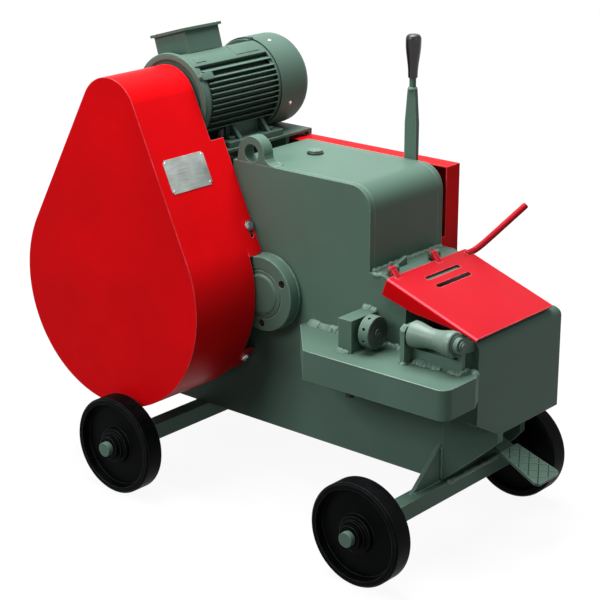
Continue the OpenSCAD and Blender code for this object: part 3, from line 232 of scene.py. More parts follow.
class Look:
    """One node material on a Principled shader, with helpers for its maps."""

    def __init__(self, name, colour, rough, metal=0.0):
        self.material = bpy.data.materials.new(name)
        self.material.use_nodes = True
        self.tree = self.material.node_tree
        self.shader = self.tree.nodes["Principled BSDF"]
        self.shader.inputs["Base Color"].default_value = (*colour, 1)
        self.shader.inputs["Roughness"].default_value = rough
        self.shader.inputs["Metallic"].default_value = metal
        self.coords = self.node("ShaderNodeTexCoord").outputs["Object"]

    def link(self, a, b):
        self.tree.links.new(a, b)

    def node(self, kind):
        return self.tree.nodes.new(kind)

    def noise(self, scale, detail=3.0, rough=0.5, stretch=None):
        n = self.node("ShaderNodeTexNoise")
        n.inputs["Scale"].default_value = scale
        n.inputs["Detail"].default_value = detail
        n.inputs["Roughness"].default_value = rough
        place = self.coords
        if stretch:
            m = self.node("ShaderNodeMapping")
            m.inputs["Scale"].default_value = stretch
            self.link(place, m.inputs["Vector"])
            place = m.outputs[0]
        self.link(place, n.inputs["Vector"])
        return n.outputs["Fac"]

    def ramp(self, value, low, high, out_low=0.0, out_high=1.0):
        r = self.node("ShaderNodeMapRange")
        r.inputs["From Min"].default_value = low
        r.inputs["From Max"].default_value = high
        r.inputs["To Min"].default_value = out_low
        r.inputs["To Max"].default_value = out_high
        self.link(value, r.inputs["Value"])
        return r.outputs[0]

    def maths(self, kind, a, b):
        m = self.node("ShaderNodeMath")
        m.operation = kind
        for socket, value in zip(m.inputs, (a, b)):
            if isinstance(value, (int, float)):
                socket.default_value = value
            else:
                self.link(value, socket)
        return m.outputs[0]

    def mix(self, fac, a, b):
        """Colour a where fac is 0 and b where it is 1."""
        m = self.node("ShaderNodeMix")
        m.data_type = "RGBA"
        self.link(fac, m.inputs[0])
        for socket, value in ((m.inputs[6], a), (m.inputs[7], b)):
            if isinstance(value, tuple):
                socket.default_value = (*value, 1)
            else:
                self.link(value, socket)
        return m.outputs[2]

    def set_colour(self, value):
        self.link(value, self.shader.inputs["Base Color"])

    def set_rough(self, value):
        self.link(value, self.shader.inputs["Roughness"])

    def set_shine(self, level):
        self.shader.inputs["Specular IOR Level"].default_value = level

    def rounded(self, radius):
        """The normal as if edges were rounded by radius."""
        bevel = self.node("ShaderNodeBevel")
        bevel.samples = BEVEL_SAMPLES
        bevel.inputs["Radius"].default_value = radius
        return bevel.outputs[0]

    def edge(self, radius):
        """How much the surface turns within radius: near 1 on edges, 0 on flats."""
        geometry = self.node("ShaderNodeNewGeometry")
        dot = self.node("ShaderNodeVectorMath")
        dot.operation = "DOT_PRODUCT"
        self.link(self.rounded(radius), dot.inputs[0])
        self.link(geometry.outputs["Normal"], dot.inputs[1])
        return self.ramp(dot.outputs["Value"], *EDGE_TURN)

    def corner(self, distance):
        """How open the surface is: 1 in the open, near 0 deep in a corner."""
        hidden = self.node("ShaderNodeAmbientOcclusion")
        hidden.samples = CORNER_SAMPLES
        hidden.inputs["Distance"].default_value = distance
        return hidden.outputs["AO"]

    def surface(self, layers, soften=0.0):
        """Bump from (height, strength, distance) layers over a softened edge."""
        normal = self.rounded(soften) if soften else None
        for height, strength, distance in layers:
            bump = self.node("ShaderNodeBump")
            bump.inputs["Strength"].default_value = strength
            bump.inputs["Distance"].default_value = distance
            self.link(height, bump.inputs["Height"])
            if normal:
                self.link(normal, bump.inputs["Normal"])
            normal = bump.outputs[0]
        self.link(normal, self.shader.inputs["Normal"])


def enamel(name, colour, rough, soften=0.0018, edge_wear_and_highlight=0.4, wave=0.12, pale=(0.30, 0.40, 0.34), shine=0.12,
           corner_shade=0.5, deep=0.035):
    """Sprayed machine paint: cloudy tone, fine orange peel, pale edges that are partly wear and partly a
    painted highlight, and painted shade deep in the corners.
    """
    look = Look(name, colour, rough)
    cloud = look.noise(5, 3, 0.5)
    mottled = look.noise(60, 5, 0.6)
    peel = look.noise(1300, 1.5, 0.5)
    sag = look.noise(13, 2, 0.4)
    tone = look.mix(look.ramp(cloud, 0.35, 0.65), shade(colour, 0.93), shade(colour, 1.06))
    # Painted shade: deep in corners and gaps the colour darkens towards a fifth of itself.
    corner_shade_mask = look.ramp(look.corner(deep), 0.75, 0.15)
    tone = look.mix(look.maths("MULTIPLY", corner_shade_mask, corner_shade), tone, shade(colour, 0.18))
    # Pale edges: partly wear, partly a painted highlight.
    rim = look.maths("MULTIPLY", look.edge(0.0032), look.ramp(mottled, 0.22, 0.62))
    tone = look.mix(look.maths("MULTIPLY", rim, edge_wear_and_highlight), tone, pale)
    look.set_colour(tone)
    uneven = look.maths("ADD", cloud, look.maths("MULTIPLY", mottled, 0.5))
    look.set_rough(look.ramp(uneven, 0.4, 1.1, rough - 0.05, rough + 0.08))
    look.set_shine(shine)
    look.surface([(sag, wave, 0.003), (peel, 0.05, 0.0005)], soften)
    return look.material


def bright_metal(name, colour, rough, grain=(1, 1, 1)):
    """Machined or plated steel: fine grain and smudges."""
    look = Look(name, colour, rough, 1.0)
    lines = look.noise(420, 3, 0.6, grain)
    smudge = look.noise(28, 4, 0.6)
    tone = look.mix(look.ramp(smudge, 0.35, 0.75), shade(colour, 0.62), colour)
    bright = look.maths("MULTIPLY", look.ramp(lines, 0.35, 0.7), 0.4)
    look.set_colour(look.mix(bright, tone, shade(colour, 1.2)))
    look.set_rough(look.ramp(smudge, 0.3, 0.75, rough - 0.06, rough + 0.16))
    look.surface([(lines, 0.12, 0.0004)], 0.0006)
    return look.material


def cast(name, colour, rough):
    """Cast iron, dark and granular."""
    look = Look(name, colour, rough, 0.55)
    grit = look.noise(520, 3, 0.7)
    patch = look.noise(24, 4, 0.6)
    look.set_colour(look.mix(look.ramp(patch, 0.3, 0.7), shade(colour, 0.7), shade(colour, 1.25)))
    look.set_rough(look.ramp(patch, 0.3, 0.7, rough - 0.08, rough + 0.1))
    look.surface([(grit, 0.25, 0.0006)], 0.001)
    return look.material


def black_coat(name, colour, rough):
    """Black paint on cast wheels: soft gloss, a little dust, and a painted highlight along the edges, broken
    up by the dust.
    """
    look = Look(name, colour, rough)
    dust = look.noise(34, 5, 0.65)
    grain = look.noise(750, 2, 0.6)
    tone = look.mix(look.ramp(dust, 0.42, 0.78), colour, shade(colour, 1, 0.003))
    # Painted highlight: a pale grey line along the edges.
    edge_glint = look.maths("MULTIPLY", look.edge(0.0025), look.ramp(dust, 0.25, 0.7, 0.1, 0.55))
    look.set_colour(look.mix(edge_glint, tone, (0.10, 0.105, 0.105)))
    look.set_rough(look.ramp(dust, 0.3, 0.75, rough - 0.08, rough + 0.16))
    look.set_shine(0.025)
    look.surface([(grain, 0.06, 0.0005)], 0.002)
    return look.material


def moulded(name, colour, rough):
    """Moulded plastic or rubber with a fine skin."""
    look = Look(name, colour, rough)
    skin = look.noise(900, 2, 0.55)
    cloud = look.noise(40, 3, 0.5)
    look.set_colour(look.mix(look.ramp(cloud, 0.35, 0.7), colour, shade(colour, 1.35, 0.004)))
    look.set_rough(look.ramp(cloud, 0.3, 0.7, rough - 0.05, rough + 0.08))
    look.surface([(skin, 0.10, 0.0004)], 0.0008)
    return look.material


# The pale pink of the red guards' edges: partly wear, partly painted highlight.
PINK = (1.0, 0.24, 0.28)
PLATE_GRAIN = (1, 0.06, 1)
LATHE_GRAIN = (1, 0.08, 1)
FRESH = {"soften": 0.0, "edge_wear_and_highlight": 0.0}
# Maker, name, colour, roughness and what differs from the maker's usual values
FINISHES = (
    (enamel, "green_paint", (0.098, 0.172, 0.134), 0.42, {"edge_wear_and_highlight": 0.65, "pale": (0.33, 0.44, 0.38)}),
    # The motor's paint goes almost to its darkest deep between the fins: painted shade.
    (enamel, "motor_paint", (0.090, 0.157, 0.125), 0.44,
     {"soften": 0.0012, "wave": 0.05, "corner_shade": 0.97, "deep": 0.022}),
    (enamel, "fitting_paint", (0.125, 0.205, 0.165), 0.42, {"soften": 0.001, "edge_wear_and_highlight": 0.6, "wave": 0.05}),
    (enamel, "roller_paint", (0.155, 0.238, 0.196), 0.34,
     {"soften": 0.001, "edge_wear_and_highlight": 0.5, "wave": 0.05, "shine": 0.35}),
    (bright_metal, "knob_metal", (0.13, 0.145, 0.14), 0.40, {}),
    # The welds take a lighter, glossier copy of the green paint, with little corner shade: painted light on
    # the beads.
    (enamel, "weld_paint", (0.140, 0.225, 0.182), 0.34,
     {"soften": 0.0, "edge_wear_and_highlight": 0.1, "wave": 0.3, "shine": 0.24, "corner_shade": 0.1}),
    # Dark lines across the pedal's tread.
    (enamel, "groove_paint", (0.016, 0.028, 0.022), 0.5, FRESH),
    (enamel, "red_paint", (0.82, 0.004, 0.007), 0.36,
     {"soften": 0.0025, "edge_wear_and_highlight": 0.8, "wave": 0.10, "pale": (1.0, 0.20, 0.24), "shine": 0.035, "corner_shade": 0.45}),
    (enamel, "guard_red", (0.50, 0.009, 0.018), 0.34,
     {"soften": 0.0015, "edge_wear_and_highlight": 0.7, "wave": 0.10, "pale": PINK, "shine": 0.075, "corner_shade": 0.45}),
    # A paler red for the blade guard's fold: a painted highlight.
    (enamel, "fold_red", (0.80, 0.075, 0.105), 0.34, {**FRESH, "wave": 0.10, "corner_shade": 0.3}),
    # A lighter, less glossy copy of the blade guard's red for its flange: painted light.
    (enamel, "flange_red", (0.62, 0.003, 0.006), 0.34,
     {"soften": 0.0015, "edge_wear_and_highlight": 0.3, "wave": 0.10, "pale": PINK, "shine": 0.02, "corner_shade": 0.4}),
    # A pale green for a line along the shelf's edge: a painted highlight.
    (enamel, "edge_paint", (0.28, 0.38, 0.325), 0.30, {**FRESH, "shine": 0.3, "corner_shade": 0.2}),
    (black_coat, "wheel_black", (0.0016, 0.0019, 0.0022), 0.42, {}),
    (bright_metal, "plate_metal", (0.50, 0.55, 0.52), 0.42, {"grain": PLATE_GRAIN}),
    (bright_metal, "zinc_steel", (0.66, 0.67, 0.68), 0.28, {}),
    (bright_metal, "dark_steel", (0.07, 0.072, 0.076), 0.36, {}),
    (bright_metal, "machined_steel", (0.46, 0.47, 0.48), 0.30, {"grain": LATHE_GRAIN}),
    (cast, "cast_iron", (0.11, 0.11, 0.115), 0.50, {}),
    (bright_metal, "bronze", (0.52, 0.33, 0.13), 0.32, {}),
    (moulded, "belt_rubber", (0.012, 0.012, 0.012), 0.62, {}),
    (moulded, "grip_plastic", (0.0045, 0.0045, 0.005), 0.26, {}),
    (moulded, "black_plastic", (0.012, 0.012, 0.013), 0.48, {}),
)
FINISH_OF_NODE = {"feed_roller": "roller_paint"}
# The CAD's name for each finish that it doesn't have
materials = {}


def make_materials():
    """Every finish, and the finish of every CAD node."""
    for maker, name, colour, rough, more in FINISHES:
        materials[name] = maker(name, colour, rough, **more)
    slots = {part["node"]: part["material_slot"] for part in frame["record"]["subparts"]}
    for name, obj in frame["nodes"].items():
        obj.data.materials.clear()
        obj.data.materials.append(materials[FINISH_OF_NODE.get(name, slots[name])])


# Mesh tools
FRAME = "machine_frame"
SHARP_ANGLE = 40
FORWARDS = (1, 0, 0)
BACKWARDS = (-1, 0, 0)
ACROSS = (0, 1, 0)
UPWARDS = (0, 0, 1)
DOWNWARDS = (0, 0, -1)


def piece(name, bm, body, material, smooth=35):
    """Turns bm into a piece that rides on body, shaded smooth below the given angle."""
    bmesh.ops.recalc_face_normals(bm, faces=bm.faces)
    mesh = bpy.data.meshes.new(name)
    bm.to_mesh(mesh)
    bm.free()
    mesh.materials.append(materials[material])
    for polygon in mesh.polygons:
        polygon.use_smooth = True
    mesh.set_sharp_from_angle(angle=math.radians(smooth))
    obj = bpy.data.objects.new(name, mesh)
    scene.collection.objects.link(obj)
    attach(obj, body)
    return obj


def resample(points, step):
    """Points about a fixed distance apart along a polyline."""
    out = [points[0].copy()]
    for a, b in zip(points, points[1:]):
        count = max(1, round((b - a).length / step))
        for k in range(1, count + 1):
            out.append(a.lerp(b, k / count))
    return out


def circle(bm, centre, side, up, radius, steps, turn=0.0):
    """A loop of points about centre, in the plane of side and up."""
    loop = []
    for k in range(steps):
        angle = 2 * math.pi * k / steps + turn
        loop.append(bm.verts.new(centre + (side * math.cos(angle) + up * math.sin(angle)) * radius))
    return loop


def join(bm, a, b):
    """Faces between two closed loops of the same length."""
    for k in range(len(a)):
        n = (k + 1) % len(a)
        bm.faces.new((a[k], a[n], b[n], b[k]))


def loft(bm, loops):
    """A solid through a row of loops, closed at both ends."""
    for a, b in zip(loops, loops[1:]):
        join(bm, a, b)
    bm.faces.new(loops[0])
    bm.faces.new(loops[-1])


def tube(bm, path, radius_at, sides):
    """Sweeps a round section along path; radius_at gives its radius in metres at each point."""
    last = len(path) - 1
    side = (path[1] - path[0]).orthogonal().normalized()
    loops = []
    for i, point in enumerate(path):
        ahead = (path[min(i + 1, last)] - path[max(i - 1, 0)]).normalized()
        side = (side - ahead * side.dot(ahead)).normalized()
        loops.append(circle(bm, point, side, ahead.cross(side), radius_at(i), sides))
    loft(bm, loops)


def turned(bm, origin, axis, profile, steps=48):
    """Revolves (radius, along) pairs, in millimetres, about an axis through origin."""
    axis = Vector(axis).normalized()
    side = axis.orthogonal().normalized()
    up = axis.cross(side)
    loops = []
    for radius, along in profile:
        centre = origin + axis * along / MM_PER_M
        if radius == 0:
            loops.append([bm.verts.new(centre)])
        else:
            loops.append(circle(bm, centre, side, up, radius / MM_PER_M, steps))
    pairs = list(zip(loops, loops[1:]))
    if len(loops[0]) > 1 and len(loops[-1]) > 1:
        pairs.append((loops[-1], loops[0]))
    for a, b in pairs:
        if len(a) > 1 and len(b) > 1:
            join(bm, a, b)
            continue
        tip, rim = (a[0], b) if len(a) == 1 else (b[0], a)
        for k in range(steps):
            bm.faces.new((tip, rim[(k + 1) % steps], rim[k]))


def turned_piece(name, body, material, origin, axis, profile, steps):
    """A piece that is one turned shape."""
    bm = bmesh.new()
    turned(bm, origin, axis, profile, steps)
    return piece(name, bm, body, material)


def hex_head(bm, origin, axis, across, height, washer=0.0, turn=0.0):
    """A hex head with a chamfered crown, on a washer of the given radius when there is one."""
    axis = Vector(axis).normalized()
    if washer:
        hole = across * 0.3
        ring = [(hole, 0), (washer - 0.5, 0), (washer, 0.5), (washer - 0.3, 1.8), (hole, 1.8)]
        turned(bm, origin, axis, ring, 32)
        origin = origin + axis * 1.7 / MM_PER_M
    side = axis.orthogonal().normalized()
    up = axis.cross(side)
    reach = across / math.sqrt(3) / MM_PER_M
    crown = ((1.0, 0.0), (1.0, 0.8), (0.93, 0.93), (0.80, 1.0), (0.35, 1.0))
    loft(bm, [circle(bm, origin + axis * height * level / MM_PER_M, side, up, reach * wide, 6, turn)
              for wide, level in crown])


def box(bm, corners):
    """A solid from eight corners: four below in order, then four above."""
    v = [bm.verts.new(c) for c in corners]
    for face in ((0, 1, 2, 3), (4, 5, 6, 7), (0, 1, 5, 4), (1, 2, 6, 5), (2, 3, 7, 6), (3, 0, 4, 7)):
        bm.faces.new([v[k] for k in face])


def block(bm, low, high, place):
    """A block between two opposite corners, in the frame of place."""
    box(bm, [place(x, y, z) for z in (low[2], high[2])
             for x, y in ((low[0], low[1]), (high[0], low[1]), (high[0], high[1]), (low[0], high[1]))])


def soften(bm, width, segments=3):
    """Rounds every sharp edge by width millimetres."""
    bmesh.ops.recalc_face_normals(bm, faces=bm.faces)
    limit = math.radians(SHARP_ANGLE)
    sharp = [e for e in bm.edges if len(e.link_faces) == 2 and e.calc_face_angle() > limit]
    bmesh.ops.bevel(bm, geom=sharp, offset=width / MM_PER_M, segments=segments, profile=0.6, affect="EDGES",
                    clamp_overlap=True)


# Faces and edges of the body, taken from the CAD nodes
(SHELF_BACK, SHELF_NEAR, SHELF_UNDER), (SHELF_FRONT, _, SHELF_TOP) = corners_of("bar_shelf")
(STOP_BACK, STOP_NEAR, _), (STOP_FRONT, _, STOP_TOP) = corners_of("stop_block")
(BRACKET_BACK, BRACKET_NEAR, _), (BRACKET_FRONT, _, _) = corners_of("roller_brackets")
(_, ROLLER_Y, ROLLER_Z) = centre_of("feed_roller")
ROLLER_FRONT = corners_of("feed_roller")[1][0]
(TOWER_FRONT, _, TOWER_TOP) = corners_of("top_cover")[1]
LEDGE = corners_of("ram_housing")[1][2]
NOSE_TOP = corners_of("nose_block")[1][2]
BODY_FAR = corners_of("far_side_plate")[1][1]
(REAR_FACE, REAR_NEAR, BELLY_TOP), (_, REAR_FAR, _) = corners_of("rear_cover_plate")
EYE_FAR = corners_of("lifting_eye")[1][1]
LEG_FOOT = corners_of("motor_base")[0][2]
FRONT_AXLE = centre_of("front_axle")[0]
REAR_AXLE = centre_of("rear_axle")[0]
(AXLE_FRONT, _, AXLE_TOP) = corners_of("rear_axle")[1]
AXLE_HALF = AXLE_FRONT - REAR_AXLE


# Welds
WELD_STEP = 1.4
WELD_PASS = 9.5
WELD_SCALLOP = 0.11
# Rate along the bead and shift by the seed of its drift in X, Y and Z
WELD_DRIFT = ((0.21, 3), (0.27, 1), (0.33, 7))
# Part, rate and shift of the slow changes in its thickness
WELD_WAVES = ((1, 0.09, 2.1), (0.5, 0.23, 5), (0.25, 0.61, 11))
# How much wider than an even bead a flat one is, and how deep it sinks
FLAT_WIDE = 1.55
FLAT_SINK = 0.55
NEAR_FACE = -1
CHEEK_FACE = ROLLER_Y + 4
GUSSET = FRONT_AXLE + 1
FLAT = {"rough": 0.09, "sink": (0, 1, -1)}
LUMPY = {"rough": 0.16}


def in_x(start, end, y, z):
    """The ends of a weld that runs in X."""
    return (start, y, z), (end, y, z)


# Name, start, end, size, seed and what differs from an even bead
WELDS = (
    ("weld_shelf_rear", *in_x(SHELF_BACK + 10, STOP_BACK - 2, NEAR_FACE, SHELF_TOP), 13.5, 0.3, FLAT),
    ("weld_shelf_mid", *in_x(STOP_FRONT + 2, BRACKET_BACK - 2, NEAR_FACE, SHELF_TOP), 9.5, 1.7, FLAT),
    ("weld_cheek", *in_x(BRACKET_BACK + 12, BRACKET_FRONT - 50, CHEEK_FACE, SHELF_TOP), 11, 2.9, FLAT),
    ("weld_cheek_front", *in_x(BRACKET_FRONT - 38, BRACKET_FRONT + 6, CHEEK_FACE, SHELF_TOP), 9, 4.9, FLAT),
    ("weld_shelf_nose", (SHELF_FRONT - 24, -4, SHELF_TOP), (SHELF_FRONT - 9, -24, SHELF_TOP),
     5.5, 3.3, {"rough": 0.08, "sink": (-0.5, 0.7, -1)}),
    ("weld_shelf_under", *in_x(SHELF_BACK + 4, -90, NEAR_FACE, SHELF_UNDER - 0.5), 5, 4.1, {}),
    ("weld_stop_near", *in_x(STOP_BACK - 2, STOP_FRONT - 3, STOP_NEAR, SHELF_TOP), 8.55, 0.9, FLAT),
    ("weld_stop_rear", (STOP_BACK, STOP_NEAR + 4, SHELF_TOP), (STOP_BACK, -8, SHELF_TOP), 5, 2.2, {}),
    ("weld_stop_top", *in_x(STOP_BACK - 1, STOP_FRONT - 1, NEAR_FACE, STOP_TOP - 1),
     9, 3.4, {**FLAT, "rough": 0.10}),
    ("weld_stop_side", (STOP_BACK, NEAR_FACE, SHELF_TOP + 10), (STOP_BACK, NEAR_FACE, STOP_TOP - 8),
     4.5, 5.4, {}),
    ("weld_roller_rear", (BRACKET_BACK - 0.5, BRACKET_NEAR + 2, SHELF_TOP),
     (BRACKET_BACK - 0.5, -6, SHELF_TOP), 7, 1.1, LUMPY),
    ("weld_roller_near", *in_x(BRACKET_BACK, BRACKET_BACK + 14, BRACKET_NEAR, SHELF_TOP), 6, 2.6, FLAT),
    ("weld_roller_nose", (BRACKET_FRONT - 5, -2, SHELF_TOP + 39), (BRACKET_FRONT - 5, -2, SHELF_TOP + 55),
     5, 0.2, {}),
    ("weld_ledge", (TOWER_FRONT + 1, 6, LEDGE - 1), (TOWER_FRONT + 1, BODY_FAR - 2, LEDGE - 1), 7, 3.7, {}),
    ("weld_ledge_near", *in_x(TOWER_FRONT + 4, TOWER_FRONT + 30, 3, LEDGE - 3), 6, 1.9, {}),
    ("weld_gusset_plate", (GUSSET, NEAR_FACE, AXLE_TOP + 4), (GUSSET, NEAR_FACE, AXLE_TOP + 74), 3, 4.6, {}),
    ("weld_gusset_axle", (GUSSET, -90, AXLE_TOP), (GUSSET, -3, AXLE_TOP), 3.5, 0.7, {}),
    ("weld_gusset_back", (GUSSET - 10, -90, AXLE_TOP), (GUSSET - 10, -3, AXLE_TOP), 4.5, 5.1, {}),
    ("weld_eye", *in_x(-620, -518, EYE_FAR, TOWER_TOP), 4.5, 0.4, {}),
)


def weld(name, start, end, size, seed, rough=0.10, sink=None):
    """A painted bead along a corner, with the scallops of each pass.

    A bead with a sink, the way into the corner, is pressed wide and flat.
    """
    wide = 1.0
    ends = [Vector(start), Vector(end)]
    if sink:
        wide = FLAT_WIDE
        ends = [p + Vector(sink) * FLAT_SINK * size for p in ends]
    path = resample([at(*p) for p in ends], WELD_STEP / MM_PER_M)
    last = len(path) - 1
    for i, point in enumerate(path):
        run = i * WELD_STEP
        drift = [math.sin(run * rate + seed * shift) for rate, shift in WELD_DRIFT]
        path[i] = point + Vector(drift) * size * rough / MM_PER_M

    def radius(i):
        run = i * WELD_STEP
        scallop = WELD_SCALLOP * abs(math.sin(math.pi * run / WELD_PASS + seed))
        slow = rough * sum(part * math.sin(run * rate + seed * shift) for part, rate, shift in WELD_WAVES)
        taper = min(1, 0.45 + 0.2 * min(i, last - i))
        return size * wide / MM_PER_M * (0.86 + scallop + slow) * taper

    bm = bmesh.new()
    tube(bm, path, radius, 14)
    piece(name, bm, FRAME, "weld_paint", 60)


def make_welds():
    for name, start, end, size, seed, more in WELDS:
        weld(name, start, end, size, seed, **more)
    for axle in (FRONT_AXLE, REAR_AXLE):
        for side in (-AXLE_HALF, AXLE_HALF):
            name = "weld_axle_%d_%d" % (-axle, side)
            x = axle + side
            weld(name, (x, 0, AXLE_TOP - 0.5), (x, BODY_FAR, AXLE_TOP - 0.5), 5, x)
    for y in (20, 30, 210, 220):
        weld("weld_leg_%d" % y, *in_x(-877, -669, y, LEG_FOOT), 4, y * 0.37)
    weld("weld_rear_low", (REAR_FACE + 1, REAR_NEAR, BELLY_TOP - 1), (REAR_FACE + 1, REAR_FAR, BELLY_TOP - 1),
         3.5, 1.3)


def make_ledge_rib():
    """A small wedge that stands on the ledge."""
    rear = TOWER_FRONT + 16
    front = TOWER_FRONT + 24
    foot = LEDGE - 0.5
    toe = LEDGE + 1
    heel = LEDGE + 17
    bm = bmesh.new()
    box(bm, [at(rear, 38, foot), at(front, 38, foot), at(front, 92, foot), at(rear, 92, foot),
             at(rear, 40, toe), at(front, 40, toe), at(front, 91, heel), at(rear, 91, heel)])
    soften(bm, 0.6)
    piece("ledge_rib", bm, FRAME, "green_paint")


# Motor
MOTOR_X, _, MOTOR_Z = centre_of("drive_end_shield")
BOX_LEAN = math.radians(-16)
FIN_LEVELS = (-55.4, -41.0, -26.8, -13.6, -2.6, 9.1, 20.7, 31.9, 42.5, 52.5, 65.0)
# Heights across one fin and how far each point stays back from the tip, or None at the core
FIN_SHAPE = ((-2.0, None), (-1.2, 0.6), (-0.5, 0), (0.5, 0), (1.2, 0.6), (2.0, None))
FIN_GAP = 5.2
FIN_CORE = 84
FIN_REACH = 98
BORE_RADIUS = 78.4
BARREL_NEAR = -10
BARREL_FAR = 198
SHIELD = [(14.6, -36), (36, -36), (41, -33), (60, -31), (82, -32), (87, -36), (96.5, -36), (98.8, -35),
          (99.4, -33), (99.4, -27.5), (98.8, -26), (96.4, -25), (95.6, -23.5), (95.2, -14), (94, -11.5),
          (91, -10), (84, -10), (77, -6), (14.6, -6)]
REAR_DISC = [(14.6, 198), (95.6, 198), (96.6, 199), (96.6, 207), (95.6, 208), (14.6, 208)]
# Corners (x, z) of one foot, its upright and its ribs about the motor's axis
FOOT = ((60, -100), (98.5, -100), (100, -98.5), (100, -88.5), (98.5, -87), (60, -87))
FOOT_UPRIGHT = ((57, -89), (66, -89), (66, -51), (57, -60))
FOOT_RIB = ((60, -88), (97.5, -88), (96, -85), (66, -50), (58, -60))
FIN_STOP = ((76, 53), (78, 53), (66, 65), (60, 65))
# Where these start and end along the axis
FOOT_RUN = (35, 205)
UPRIGHT_RUN = (62, 177)
RIB_RUNS = ((70, 79), (160, 169))
FIN_STOP_RUN = (192, 198.5)
# Angles, radii, run along the axis and steps of the pad, what stands on it and the boss
PAD = ((52, 80), (82, 98.2), (-25.5, 198), 14)
PAD_LUGS = (((57, 66), (97, 99.6), (-13, 17), 6), ((57, 76), (97, 99.4), (110, 182), 10))
BOSS = ((31.5, 41), (82, 100.2), (-26, 9.5), 6)
GASKET = ((-46.9, 0.1, 134.0), (46.9, 103.9, 135.3))
LID_SCREWS = [(x, y, 141) for x in (-43, 43) for y in (4, 100)]
# Radius, angle and place along the axis of the screws
BOSS_SCREW = (99, 36, -31)
REAR_SCREWS = [(96.2, angle, 202) for angle in (84, 142)]
COWL_SCREWS = [(99.6, angle, 236) for angle in (-21, 69, 159, 249)]
COWL_SCREW = [(0, 0), (4.6, 0), (4.6, 0.8), (4.2, 1.6), (2.4, 2.4), (0, 2.6)]
LID_SCREW = [(0, -1), (4.4, -1), (4.4, 0.9), (3.8, 1.9), (2.2, 2.5), (1.2, 2.6), (1.1, 1.4), (0, 1.4)]


def on_motor(x, y, z):
    """A place from the motor's axis."""
    return at(MOTOR_X + x, y, MOTOR_Z + z)


def round_motor(radius, angle, y):
    """A place at an angle, in degrees, about the motor's axis."""
    turn = math.radians(angle)
    return on_motor(radius * math.cos(turn), y, radius * math.sin(turn))


def on_box(x, y, z):
    """A place in the leaning frame of the terminal box."""
    return on_motor(x * math.cos(BOX_LEAN) + z * math.sin(BOX_LEAN), y,
                    -x * math.sin(BOX_LEAN) + z * math.cos(BOX_LEAN))


def arc_panel(bm, angles, radii, ys, steps):
    """A curved plate on the motor's housing."""
    section = ((radii[0], ys[0]), (radii[1], ys[0]), (radii[1], ys[1]), (radii[0], ys[1]))
    loops = []
    for k in range(steps + 1):
        angle = angles[0] + (angles[1] - angles[0]) * k / steps
        loops.append([bm.verts.new(round_motor(r, angle, y)) for r, y in section])
    loft(bm, loops)


def bar(bm, outline, near, far):
    """A bar along the motor's axis from (x, z) corners about that axis."""
    loft(bm, [[bm.verts.new(on_motor(x, y, z)) for x, z in outline] for y in (near, far)])


def finned_outline():
    """The barrel's cross section, anticlockwise: level fins on both sides of a round core."""
    half = []
    for level in FIN_LEVELS:
        tip = math.sqrt(FIN_REACH ** 2 - level ** 2)
        for up, back in FIN_SHAPE:
            z = level + up
            half.append((math.sqrt(FIN_CORE ** 2 - z ** 2) if back is None else tip - back, z))
        if level != FIN_LEVELS[-1]:
            between = level + FIN_GAP
            half.append((math.sqrt(FIN_CORE ** 2 - between ** 2), between))
    top = math.atan2(half[-1][1], half[-1][0])
    low = math.atan2(half[0][1], half[0][0])
    over = [top + (math.pi - 2 * top) * k / 12 for k in range(1, 12)]
    under = [math.pi - low + (math.pi + 2 * low) * k / 12 for k in range(1, 12)]
    outline = list(half)
    outline += [(FIN_CORE * math.cos(a), FIN_CORE * math.sin(a)) for a in over]
    outline += [(-x, z) for x, z in reversed(half)]
    outline += [(FIN_CORE * math.cos(a), FIN_CORE * math.sin(a)) for a in under]
    return outline


def loop_edges(bm, loop):
    """The edges of a closed loop, made where they are missing."""
    pairs = [(loop[k], loop[(k + 1) % len(loop)]) for k in range(len(loop))]
    return [bm.edges.get(pair) or bm.edges.new(pair) for pair in pairs]


def fill(bm, loops):
    """A flat face inside the first loop, with the other loops as holes."""
    edges = [edge for loop in loops for edge in loop_edges(bm, loop)]
    bmesh.ops.triangle_fill(bm, use_beauty=True, use_dissolve=False, edges=edges)


def make_barrel(bm):
    """The finned barrel as one hollow shell, open for the stator."""
    bore = [math.pi * k / 48 for k in range(96)]
    inner = [(BORE_RADIUS * math.cos(a), BORE_RADIUS * math.sin(a)) for a in bore]
    sections = (finned_outline(), inner)
    near, far = [[[bm.verts.new(on_motor(x, y, z)) for x, z in section] for section in sections]
                 for y in (BARREL_NEAR, BARREL_FAR)]
    for a, b in zip(near, far):
        join(bm, a, b)
    fill(bm, near)
    fill(bm, far)


def make_shield():
    """The drive end shield."""
    shield = turned_piece("motor_shield", FRAME, "motor_paint", on_motor(0, 0, 0), ACROSS, SHIELD, 96)
    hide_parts("drive_end_shield")


def make_housing():
    """The finned barrel with its rear disc and its feet."""
    bm = bmesh.new()
    make_barrel(bm)
    turned(bm, on_motor(0, 0, 0), ACROSS, REAR_DISC, 96)
    for side in (1, -1):
        foot, upright, rib = [[(side * x, z) for x, z in shape] for shape in (FOOT, FOOT_UPRIGHT, FOOT_RIB)]
        bar(bm, foot, *FOOT_RUN)
        bar(bm, upright, *UPRIGHT_RUN)
        for run in RIB_RUNS:
            bar(bm, rib, *run)
    bar(bm, FIN_STOP, *FIN_STOP_RUN)
    housing = piece("finned_housing", bm, FRAME, "motor_paint")
    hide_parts("motor_housing")


def make_pad():
    """The raised pad on the barrel with its lugs, and the boss beside it."""
    bm = bmesh.new()
    arc_panel(bm, *PAD)
    soften(bm, 1.6)
    for lug in PAD_LUGS:
        arc_panel(bm, *lug)
    soften(bm, 0.6, 2)
    piece("motor_pad", bm, FRAME, "motor_paint")
    bm = bmesh.new()
    arc_panel(bm, *BOSS)
    soften(bm, 1.6)
    piece("motor_boss", bm, FRAME, "motor_paint")


